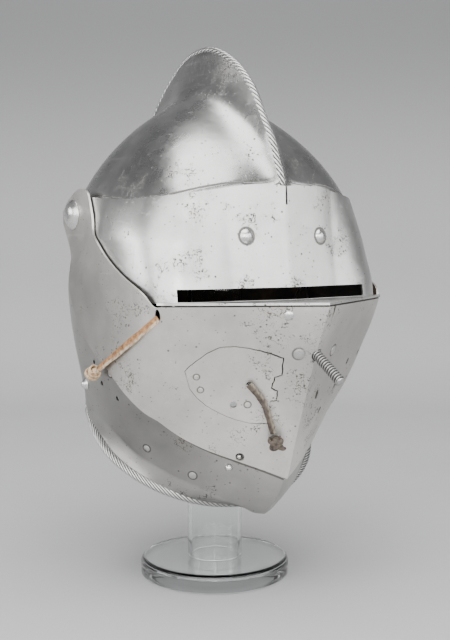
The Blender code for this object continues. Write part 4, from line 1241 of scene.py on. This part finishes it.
door_t, door_z = np.linspace(.03, .56, 70), np.linspace(208, 132, 54)[:, None]
door_grid = plan_point(face_front, *np.broadcast_arrays(door_t, door_z), UPPER_OUT + DOOR_PROUD, -DOOR_PROUD)
door_grid[..., 0] *= -1
door_holes = cutter(joined([rod_mesh(door_place(across, up), door_out, radius, 24, 24)
                            for across, up, radius in DOOR_HOLES]))
door_mesh = baked("trapdoor_plate", sheet_mesh("trapdoor", door_grid[:, ::-1]),
                  [thickness(PLATE), cut_by(door_prism(DOOR_GAP), "INTERSECT"), cut_by(door_holes)])
door_blots = [(door_place(28, 12), 10), (door_place(24, -20), 12)]
# A dark ring round each door rivet: dirt with painted shade.
door_marks = [(on_door(across, up), radius, .7) for _, across, up, radius in DOOR_RIVETS]
door_steel = steel("door_steel", .73, .5, .8, .33, door_marks, door_blots, metal=.92)
piece("trapdoor_plate", door_mesh, "trapdoor", door_steel, ["trapdoor"], black_scale_and_shade)

# %% [markdown]
# ## Lower bevor
#
# The lower bevor covers the throat and carries the front half of the collar.  Four small
# holes at each ear let sound through.  Painted shade darkens this plate behind the two
# holes of the upper bevor that open on it, a dark line of dirt and painted shadow runs
# along the edge that covers it, and both cheeks get painted shade.

# %% Lower bevor
EAR_HOLES = ((.904, 190.1), (.918, 181.2), (.870, 165.5), (.764, 155.7))       # t, z
EAR_HOLE_RADIUS = 1.8
LOWER_EDGE = (
    (0, 63.6, 107), (.075, 65.1, 112), (.167, 71.4, 117), (.258, 76.6, 122), (.358, 83.8, 129),
    (.458, 89.8, 138), (.55, 95.6, 151), (.633, 102.5, 163), (.733, 110.4, 182),
    (.825, 122.5, 197), (.875, 129.4, 206), (.908, 133.5, 215), (.95, 137, 240),
    (.98, 139.5, 266), (1.01, 142, 287), (1.05, 145.5, 303), (1.1, 150, 311),
    (1.14, 153, 312), (1.18, 155.5, 309), (1.215, 157, 299),
)
lower_ts = np.concatenate([np.linspace(0, .99, 104), np.linspace(1, 1.215, 30)])
sheet = plate_grid(face_front, LOWER_EDGE, lower_ts, LOWER_OUT, LOWER_KEEL_STEP, np.linspace(0, 1, 56))
lower_grid = np.concatenate([sheet, flange_rows(sheet[-1])])
ear_rods = []
for t, z in EAR_HOLES:
    _, y, z = spot("lower", 1, t, z)[0]
    ear_rods.append(rod_mesh((0, y, z), (1, 0, 0), EAR_HOLE_RADIUS, THROUGH, 24))
lower_mesh = baked("lower_bevor_plate", sheet_mesh("lower_bevor", lower_grid),
                   [MIRROR, thickness(PLATE), cut_by(pivot_hole), cut_by(cutter(joined(ear_rods)))])
edge_ts = np.linspace(0, 1.1, 260)
edge_above = plan_point(face_front, edge_ts, table(UPPER_EDGE, EDGE_COLUMNS, "low", edge_ts), LOWER_OUT,
                        LOWER_KEEL_STEP)
keep_seam(lower_mesh, both_sides(edge_above))
# name, t, z, radius
LOWER_RIVETS = (
    ("lower_rivet_cheek", .795, 175.2, 2.9),
    ("lower_rivet_jaw", .668, 116.4, 2.6),
    ("lower_rivet_throat", .445, 96.9, 2.9),
)
# A dark ring round each rivet: dirt with painted shade.
lower_marks = [(spot("lower", -1, t, z)[0], radius + .5, 1.0) for _, t, z, radius in LOWER_RIVETS]
# Painted shade: a dark patch on this plate behind each of two holes of the upper bevor.
holes_above = (UPPER_HOLES[4], UPPER_HOLES[8])
lower_marks += [(spot("lower", side, t, z)[0], 0, 7.5) for side, t, z, *_ in holes_above]
lower_blots = [((-70, -60, 130), 24), ((-30, -88, 100), 18)]
# The seam is a dark line of dirt and painted shadow under the upper bevor's edge, and two points get painted
# shade, darker metal at both cheeks.
lower_steel = steel("lower_steel", .46, .25, .45, .32, lower_marks, lower_blots, seam=(1.3, 1.1),
                    painted_shade_points=((-96, -30, 128), (96, -30, 128)))
piece("lower_bevor_plate", lower_mesh, "lower_bevor", lower_steel, ["lower_bevor"], black_scale_and_shade)
rope_piece("collar_rope_front", both_sides(lower_grid[-1]), *FRONT_ROPE, "lower_bevor", rope_steel)
for tool in [thing for thing in bpy.data.objects if thing.name.startswith("cutter")]:
    bpy.data.objects.remove(tool)

# %% [markdown]
# ## Rivets and studs
#
# Each is a profile turned round the way out of its plate.  A hammered head isn't quite
# round, so its radius waves by two or three per cent.

# %% Rivets, studs and pivots
def revolved(profile, foot, way, sides, wave=0.0, seed=0.0):
    """A grid from a profile of (radius, height) rows, turned round the way out.

    Each radius is times 1 + wave * sin(3 angle + seed) * cos(2 angle + 1.3 seed).
    """
    profile = np.array(profile, float)
    angle = full_turn(sides)
    side = unit(np.cross(way, (0.0, 0.2, 1.0)))
    round_it = 1 + wave * np.sin(3 * angle + seed) * np.cos(2 * angle + 1.3 * seed)
    ring = circle(angle, side, np.cross(way, side)) * round_it[:, None]
    return foot + profile[:, 1, None, None] * way + profile[:, 0, None, None] * ring


def dome_profile(radius, height, rows=10):
    """Heights of a low dome: height * (1 - (r / radius) ** 2.4), with a short skirt."""
    r = radius * np.sin(np.linspace(.02, math.pi / 2, rows))
    rise = height * (1 - (r / radius) ** 2.4) + .25
    return [*zip(r, rise), (radius * .98, -.2)]


def stud_finish(name, tone, rough):
    """Rubbed steel with fine scratches and darker dirt in small hollows."""
    paint = Paint(name, Metallic=1.0)
    cloud = paint.noise(260, 3, .6)
    spots = paint.dots(800, .12, .3) * cloud.between(.5, .62)
    light = (.84 + cloud * .3) * tone
    bright = paint.rgb(light, light, light * .98)
    colour = paint.mix(spots * .8, bright, (.07, .06, .05, 1))
    return paint.finish(Base_Color=colour, Roughness=rough + cloud * .12 + spots * .2,
                        Normal=paint.bump(cloud, .00025, .5))


def head(name, profile, foot, way, body, finish, sides=40, wave=0.0, seed=0.0):
    """A turned profile as the piece that stands for the node of this name."""
    grid = revolved(profile, foot, way, sides, wave, seed)
    piece(name + "_head", solid(name, grid), body, finish, [name])


stud_steel = stud_finish("stud_steel", .70, .22)
flush_steel = stud_finish("flush_steel", .52, .34)
# name, plate, side, t, z, radius, height
FITTINGS = (
    ("visor_rivet_right", "visor", -1, *VISOR_RIVET, 5.3, 2.4),
    ("visor_rivet_left", "visor", 1, *VISOR_RIVET, 5.3, 2.4),
    ("prow_rivet_right", "upper", *PROW_RIVETS[0], 3.9, .5),
    ("prow_rivet_left", "upper", *PROW_RIVETS[1], 3.9, .5),
    ("shelf_rivet", "upper", -1, .117, 222.9, 3.6, 1.2),
    *((name, "lower", -1, t, z, radius, .5) for name, t, z, radius in LOWER_RIVETS),
    ("catch_button", "lower", -1, .268, 105.5, 3.4, 3.6),
    ("catch_stud", "lower", -1, .224, 114.6, 2.3, 2.4),
    ("side_stud_right", "lower", -1, 1.023, 161.4, 4.6, 3.8),
    ("side_stud_left", "lower", 1, 1.023, 161.4, 4.6, 3.8),
)
RIDES_ON = {"visor": "visor", "upper": "upper_bevor", "lower": "lower_bevor"}
for number, (name, plate, side, t, z, radius, height) in enumerate(FITTINGS):
    finish = stud_steel if height > 1 else flush_steel
    head(name, dome_profile(radius, height), *spot(plate, side, t, z), RIDES_ON[plate], finish,
         wave=.03, seed=number)
for name, across, up, radius in DOOR_RIVETS:
    head(name, dome_profile(radius, .3), on_door(across, up), door_out, "trapdoor", door_steel,
         wave=.04, seed=radius)

AXIS = .1                   # the radius of the tiny hole at a turned profile's axis, filled at the end
# the pivots: a low dome over the upper bevor, and a shank through the three plates
PIVOT_HEAD, PIVOT_RISE, PIVOT_SHANK, PIVOT_GAP = 12.0, 4.9, 4.0, .3
r = PIVOT_HEAD * np.sin(np.linspace(.02, math.pi / 2, 16))
rise = UPPER_OUT + PIVOT_GAP + PIVOT_RISE * (1 - (r / PIVOT_HEAD) ** 2.6)
pivot_profile = [*zip(r, rise), (PIVOT_HEAD, UPPER_OUT), (PIVOT_SHANK, UPPER_OUT - .1),
                 (PIVOT_SHANK, 0), (AXIS, 0)]
for side, name in ((-1, "pivot_right"), (1, "pivot_left")):
    foot = np.array((side * (PIVOT_FLAT_X + PIVOT_GAP), PIVOT_Y, PIVOT_Z))
    head(name, pivot_profile, foot, np.array((side, 0.0, 0.0)), "helmet", stud_steel, 56, .01)

# %% [markdown]
# ## Attachment screw
#
# A reinforcing plate was once screwed over the prow, and its threaded stud still stands
# there.  The thread is a ridge whose height depends on how far along it is minus its
# angle, and its tip is rounded.

# %% Screw
def threaded(rows=260, sides=36, root=4.0, tip=2.2):
    """The mesh of the screw, from the root inside the plate to the tip.

    cut = |2 frac(along / SCREW_PITCH - angle / turn) - 1| ** 0.8, and the radius is
    (SCREW_RADIUS - SCREW_CUT * cut) * sqrt(1 - (1 - left) ** 2), where left is the length
    left to the end over the tip's, up to 1.
    """
    along = np.linspace(-root, SCREW_LENGTH, rows)
    angle = full_turn(sides)
    turns = along[:, None] / SCREW_PITCH - angle[None] / (2 * math.pi)
    cut = np.abs((turns % 1) * 2 - 1) ** .8
    size = SCREW_RADIUS - SCREW_CUT * cut * smoothstep(-1, 1, along)[:, None]
    left = np.clip((SCREW_LENGTH - along) / tip, 0, 1)
    size = size * np.sqrt(1 - (1 - left)**2 + 1e-4)[:, None]
    side = unit(np.cross(SCREW_WAY, (0, 0, 1.0)))
    ring = circle(angle, side, np.cross(SCREW_WAY, side))
    mesh = solid("screw", SCREW_FOOT + along[:, None, None] * SCREW_WAY + ring[None] * size[..., None])
    keep_number(mesh, "depth", cut * (along < SCREW_LENGTH - 2)[:, None])
    return mesh


piece("screw", threaded(), "upper_bevor", rope_finish("screw_steel", .42), ["attachment_screw"])

# %% [markdown]
# ## Thongs
#
# Two stiff leather thongs, one tied to the cheek and one to the trapdoor, end in knots.
# Each is a flat strip swept along its route, a little twisted and uneven at its edges.
# They lie still with their plates, since they are stiff and short.

# %% Leather
def leather(name, dark, light, edge_line):
    """Rough tawed leather: two tones in blotches, dark specks, fibres and a paler edge."""
    paint = Paint(name, Metallic=0.0)
    cloud = paint.noise(240, 4, .65)
    fibre = paint.noise(900, 3, .6, stretch=(1, .25, .25), turn=(.4, .3, .2))
    colour = paint.mix(cloud.between(.32, .66), dark, light)
    colour = paint.mix(paint.dots(520, .16, .34) * .65, colour, (.05, .032, .02, 1))
    pale = paint.kept("depth").between(.5, .8) * edge_line * fibre.between(.3, .6)
    colour = paint.mix(pale, colour, (.62, .55, .42, 1))
    height = cloud * .5 + fibre * .5
    return paint.finish(Base_Color=colour, Roughness=.62 + fibre * .25,
                        Normal=paint.bump(height, .0006, .7))


def strip(name, route, half_width, half_thick, out_way, finish, body, node):
    """A flat thong along a route.

    Its section is (w cos(a), h sign(sin a) |sin a| ** 0.7) turned by 0.3 sin(5 s), with
    w = half_width (0.93 + 0.05 sin(23 s) + 0.02 sin(51 s)), where s runs from 0 to 1 along.
    """
    line, run = even_line(smooth_line(route, 160), 150)
    tangent = unit(np.gradient(line, axis=0))
    wide = unit(np.cross(tangent, out_way))
    thick = np.cross(wide, tangent)
    s = (run / run[-1])[:, None]
    a = full_turn(22)[None]
    w = half_width * (.93 + .05 * np.sin(23 * s) + .02 * np.sin(51 * s))
    across = w * np.cos(a)
    rise = half_thick * np.sign(np.sin(a)) * np.abs(np.sin(a)) ** .7
    twist = .3 * np.sin(5 * s)
    u = across * np.cos(twist) - rise * np.sin(twist)
    v = across * np.sin(twist) + rise * np.cos(twist)
    grid = line[:, None] + wide[:, None] * u[..., None] + thick[:, None] * v[..., None]
    mesh = solid(name, grid)
    keep_number(mesh, "depth", np.broadcast_to((1 - np.cos(a)) / 2, u.shape))
    return piece(name + "_strip", mesh, body, finish, [node]), line, run[-1]


def tube_grid(line, radius):
    """A tube round a line, with a radius for each point or one for all."""
    side, up = frames_along(line)
    ring = circle(full_turn(16), side[:, None], up[:, None])
    return line[:, None] + ring * np.broadcast_to(radius, len(line))[:, None, None]


# radius, along, tilt, spin
KNOT_BANDS = ((4.6, -2.3, .12, .3), (4.9, 1.2, -.35, 1.4), (4.2, .4, 1.05, 2.3))
BAND_HALF_WIDTH, BAND_HALF_THICK = 1.9, .9
CORE_RADIUS, CORE_HALF_LENGTH = 4.3, 4.6


def knot_mesh(name, middle, run, tail):
    """A tight knot: three flat bands wound round a core, and a cut tail.

    A band is the circle (r cos p, r sin p) round the thong's run, tilted and moved along
    it, with a flat oval section.  The core is nearly a ball.
    """
    run = unit(np.array(run, float))
    side = unit(np.cross(run, (0.0, 0.3, 1.0)))
    up = np.cross(run, side)
    p, a = full_turn(72)[:, None], full_turn(16)[None]
    parts = []
    for radius, along, tilt, spin in KNOT_BANDS:
        out = radius * (1 + .05 * np.sin(3 * p + spin)) + BAND_HALF_THICK * np.sin(a)
        x, y = out * np.cos(p + spin), out * np.sin(p + spin)
        z = along + BAND_HALF_WIDTH * np.cos(a) * (.9 + .15 * np.sin(2 * p + spin)) + tilt * x
        grid = middle + x[..., None] * side + y[..., None] * up + z[..., None] * run
        parts.append(sheet_mesh(name, grid, round_rows=True, round_columns=True))
    q = np.linspace(-math.pi / 2 + .02, math.pi / 2 - .02, 20)
    core = [*zip(CORE_RADIUS * np.cos(q), CORE_HALF_LENGTH * np.sin(q))][::-1]
    parts.append(solid(name, revolved(core, middle, run, 32, .05)))
    s = np.linspace(0, 1, 24)[:, None]
    line = middle + np.array(tail) * s + up * .8 * np.sin(3 * s)
    parts.append(solid(name, tube_grid(line, 1.5 - .4 * s[:, 0])))
    return closed(joined(parts))


print("a knot has", len(KNOT_BANDS), "bands")

# %% [markdown]
# ## Both thongs
#
# The routes are those of the solids, in millimetres: from the slot by the sight back to
# the ear, and from the hole in the trapdoor down to its knot.

# %% Both thongs and their knots
# name, route, half width, half thickness, way out, knot's middle, tail, body
THONGS = (
    ("cheek", ((-103.2, -86.4, 221.2), (-106.2, -80.7, 216.3), (-108.8, -73.9, 211.3),
               (-110.9, -66.1, 206.0), (-112.0, -56.2, 200.5), (-112.4, -44.9, 194.7),
               (-112.6, -32.6, 188.5), (-112.5, -19.5, 182.3), (-112.2, -10.5, 178.0)),
     2.9, .9, (-1, -.2, 0), (-112.6, -3.9, 175.0), (-2.2, 7.4, 1.2), "upper_bevor"),
    ("door", ((-39.3, -106.1, 172.1), (-35.6, -107.4, 167.8), (-29.6, -108.2, 160.5),
              (-25.6, -108.2, 153.9), (-23.2, -107.6, 148.0), (-20.2, -106.9, 140.9),
              (-17.8, -106.2, 134.4)),
     2.6, .8, door_out, (-16.8, -108.6, 127.4), (7.4, -1.2, -4.6), "trapdoor"),
)
tan_leather = leather("tan_leather", (.17, .075, .028, 1), (.50, .26, .11, 1), .9)
grey_leather = leather("grey_leather", (.03, .023, .019, 1), (.115, .09, .07, 1), .3)
pale_leather = leather("pale_leather", (.36, .22, .12, 1), (.64, .50, .34, 1), 0.0)
for name, route, half_width, half_thick, out_way, knot_at, tail, body in THONGS:
    finish = tan_leather if name == "cheek" else grey_leather
    thong, line, length = strip("thong_" + name, np.array(route), half_width, half_thick,
                                np.array(out_way, float), finish, body, "thong_" + name)
    tied = knot_mesh("knot_" + name, np.array(knot_at), line[-1] - line[-9], tail)
    knot = piece(f"knot_{name}_tied", tied, body, pale_leather if name == "cheek" else grey_leather,
                 ["knot_" + name])
    2 * half_width * MM
    print(name, "thong", round(length, 1), "mm")

# %% [markdown]
# ## Stand
#
# The helmet stands on clear acrylic: a thick disc, and a hollow post with a closed top.
# Both are turned profiles with rounded edges, polished, with a few faint scratches.

# %% Disc and post
DISC_RADIUS, DISC_THICK, DISC_EDGE, DISC_FOOT = 61.5, 14.0, 4.5, 1.0
POST_RADIUS, POST_WALL, POST_TOP, POST_EDGE = 22.5, 3.0, 374.0, 3.0
DISC_RING, POST_RING = 40, 200          # extra rings of points on the long faces


def acrylic():
    """Clear polished acrylic, with transmission 1 and refractive index 1.49."""
    paint = Paint("clear_acrylic", Metallic=0.0, Transmission_Weight=1.0, IOR=1.49)
    rub = paint.noise(500, 2, .5, stretch=(.1, 1, 1), turn=(.1, .2, .6)).between(.6, .72)
    dust = paint.noise(60, 4, .6)
    colour = paint.mix(dust, (.93, .955, .95, 1), (.97, .98, .975, 1))
    return paint.finish(Base_Color=colour, Roughness=.015 + rub * .06 + dust * .02,
                        Normal=paint.bump(rub, .00003, .2))


def turned(name, profile, sides):
    """A profile of (radius, height) rows turned round the stand's axis, with its sharp edges."""
    mesh = solid(name, revolved(profile, np.zeros(3), np.array((0.0, 0.0, 1.0)), sides))
    mesh.set_sharp_from_angle(angle=math.radians(40))
    return mesh


def rounded(radius, height, edge, start):
    """A quarter of an edge's round, from its top (start 0) or its side (start 90 degrees)."""
    a = np.linspace(0, math.pi / 2, 10) + start
    return zip(radius - edge + edge * np.sin(a), height + edge * np.cos(a))


clear = acrylic()
tube_inside, tube_foot = POST_RADIUS - POST_WALL, DISC_THICK + .3
disc = [(AXIS, DISC_THICK), (DISC_RING, DISC_THICK),
        *rounded(DISC_RADIUS, DISC_THICK - DISC_EDGE, DISC_EDGE, 0),
        *rounded(DISC_RADIUS, DISC_FOOT, DISC_FOOT, math.pi / 2), (DISC_RING, 0), (AXIS, 0)]
piece("stand_disc", turned("disc", disc, 128), "helmet", clear, ["stand_base"])
post = [(AXIS, POST_TOP), *rounded(POST_RADIUS, POST_TOP - POST_EDGE, POST_EDGE, 0),
        (POST_RADIUS, POST_RING), (POST_RADIUS, tube_foot),
        (tube_inside, tube_foot), (tube_inside, POST_RING),
        (tube_inside, POST_TOP - POST_WALL), (AXIS, POST_TOP - POST_WALL)]
piece("stand_tube", turned("post", post, 96), "helmet", clear, ["stand_post"])

# %% [markdown]
# ## Floor, backdrop and light
#
# The floor is a pale sheet that curves up into a backdrop, painted darker up the bend and
# darker still up the wall, as painted shade.  Under the disc it glows faintly, which
# stands in for the light that clear acrylic lets through.

# %% Stage
def sweep(name, width, front, back, height, bend):
    """A floor that curves up into a wall behind: x across, then floor, bend and wall."""
    a = np.linspace(0, math.pi / 2, 24)
    profile = [(front, 0), (back - bend, 0)]
    profile += [(back - bend + bend * math.sin(k), bend - bend * math.cos(k)) for k in a[1:]]
    profile += [(back, height)]
    mesh = sheet_mesh(name, np.array([[(x, y, z) for x in (-width, width)] for y, z in profile], float))
    mesh.shade_smooth()
    return mesh


floor_paint = Paint("floor_paper", Metallic=0.0, Emission_Strength=1.0)
speckle = floor_paint.noise(9, 3, .5)
up = floor_paint.add("ShaderNodeSeparateXYZ", None, {0: floor_paint.place}, "Z")
floor_colour = floor_paint.mix(speckle, (.46, .46, .463, 1), (.50, .50, .503, 1))
# Painted shade: the paper darkens up the bend and more up the wall.
floor_colour = floor_paint.mix(up.between(0, .25) * .5, floor_colour, (.27, .27, .272, 1))
floor_colour = floor_paint.mix(up.between(.2, .8), floor_colour, (.18, .182, .184, 1))
under = 1 - floor_paint.away((0, 0, 0)).between(54, 60)
glow = floor_paint.mix(under, (0, 0, 0, 1), (.17, .17, .17, 1))
floor_paper = floor_paint.finish(Base_Color=floor_colour, Roughness=.75 + speckle * .1, Emission_Color=glow)
floor_mesh = sweep("floor", width=4000, front=-3000, back=1500, height=1080, bend=700)
floor_mesh.materials.append(floor_paper)
floor = placed("floor", floor_mesh)
floor.location = (0, 0, -.0004)         # a hair under the disc, so that no two faces coincide
floor.rotation_euler = (0, 0, math.radians(-VIEW_AZIMUTH))
print("the backdrop stands 1.5 m behind the helmet")

# %% [markdown]
# ## Lights
#
# Steel shows what stands round it, so the broad soft panels are the picture's main tone:
# two overlap in front for the bright face, one stands to the right, one hangs over the
# comb, and a small one behind on the left lights the cheek.  A grey world fills the rest.

# %% Lights
def soft_light(name, place, aim, width, height, watts):
    """An area light at a place, aimed at a point, both in metres."""
    lamp = bpy.data.lights.new(name, "AREA")
    lamp.shape = "RECTANGLE"
    lamp.size, lamp.size_y = width, height
    lamp.energy = watts
    thing = placed(name, lamp)
    thing.location = place
    thing.rotation_euler = (Vector(aim) - Vector(place)).to_track_quat("-Z", "Y").to_euler()


# name, place, width, height, watts
PANELS = (
    ("front_left", (-2.25, -1.3, 1.1), 3.3, 1.8, 72),
    ("front", (-.4, -2.55, .85), 3.0, 1.5, 62),
    ("front_right", (1.8, -2.05, 1.0), 1.9, 1.6, 27),
    ("top", (-.3, -.4, 1.95), 2.0, 1.8, 52),
    ("left", (-2.2, 1.15, .8), 1.3, .7, 17),
)
AIM = (0, 0, .28)
for name, place, width, height, watts in PANELS:
    soft_light(name, place, AIM, width, height, watts)
world = bpy.data.worlds.new("studio")
bpy.context.scene.world = world
world.use_nodes = True
background = world.node_tree.nodes["Background"]
background.inputs["Color"].default_value = (.5, .51, .52, 1)
background.inputs["Strength"].default_value = .38
print(len(PANELS), "panels,", sum(panel[-1] for panel in PANELS), "watts")
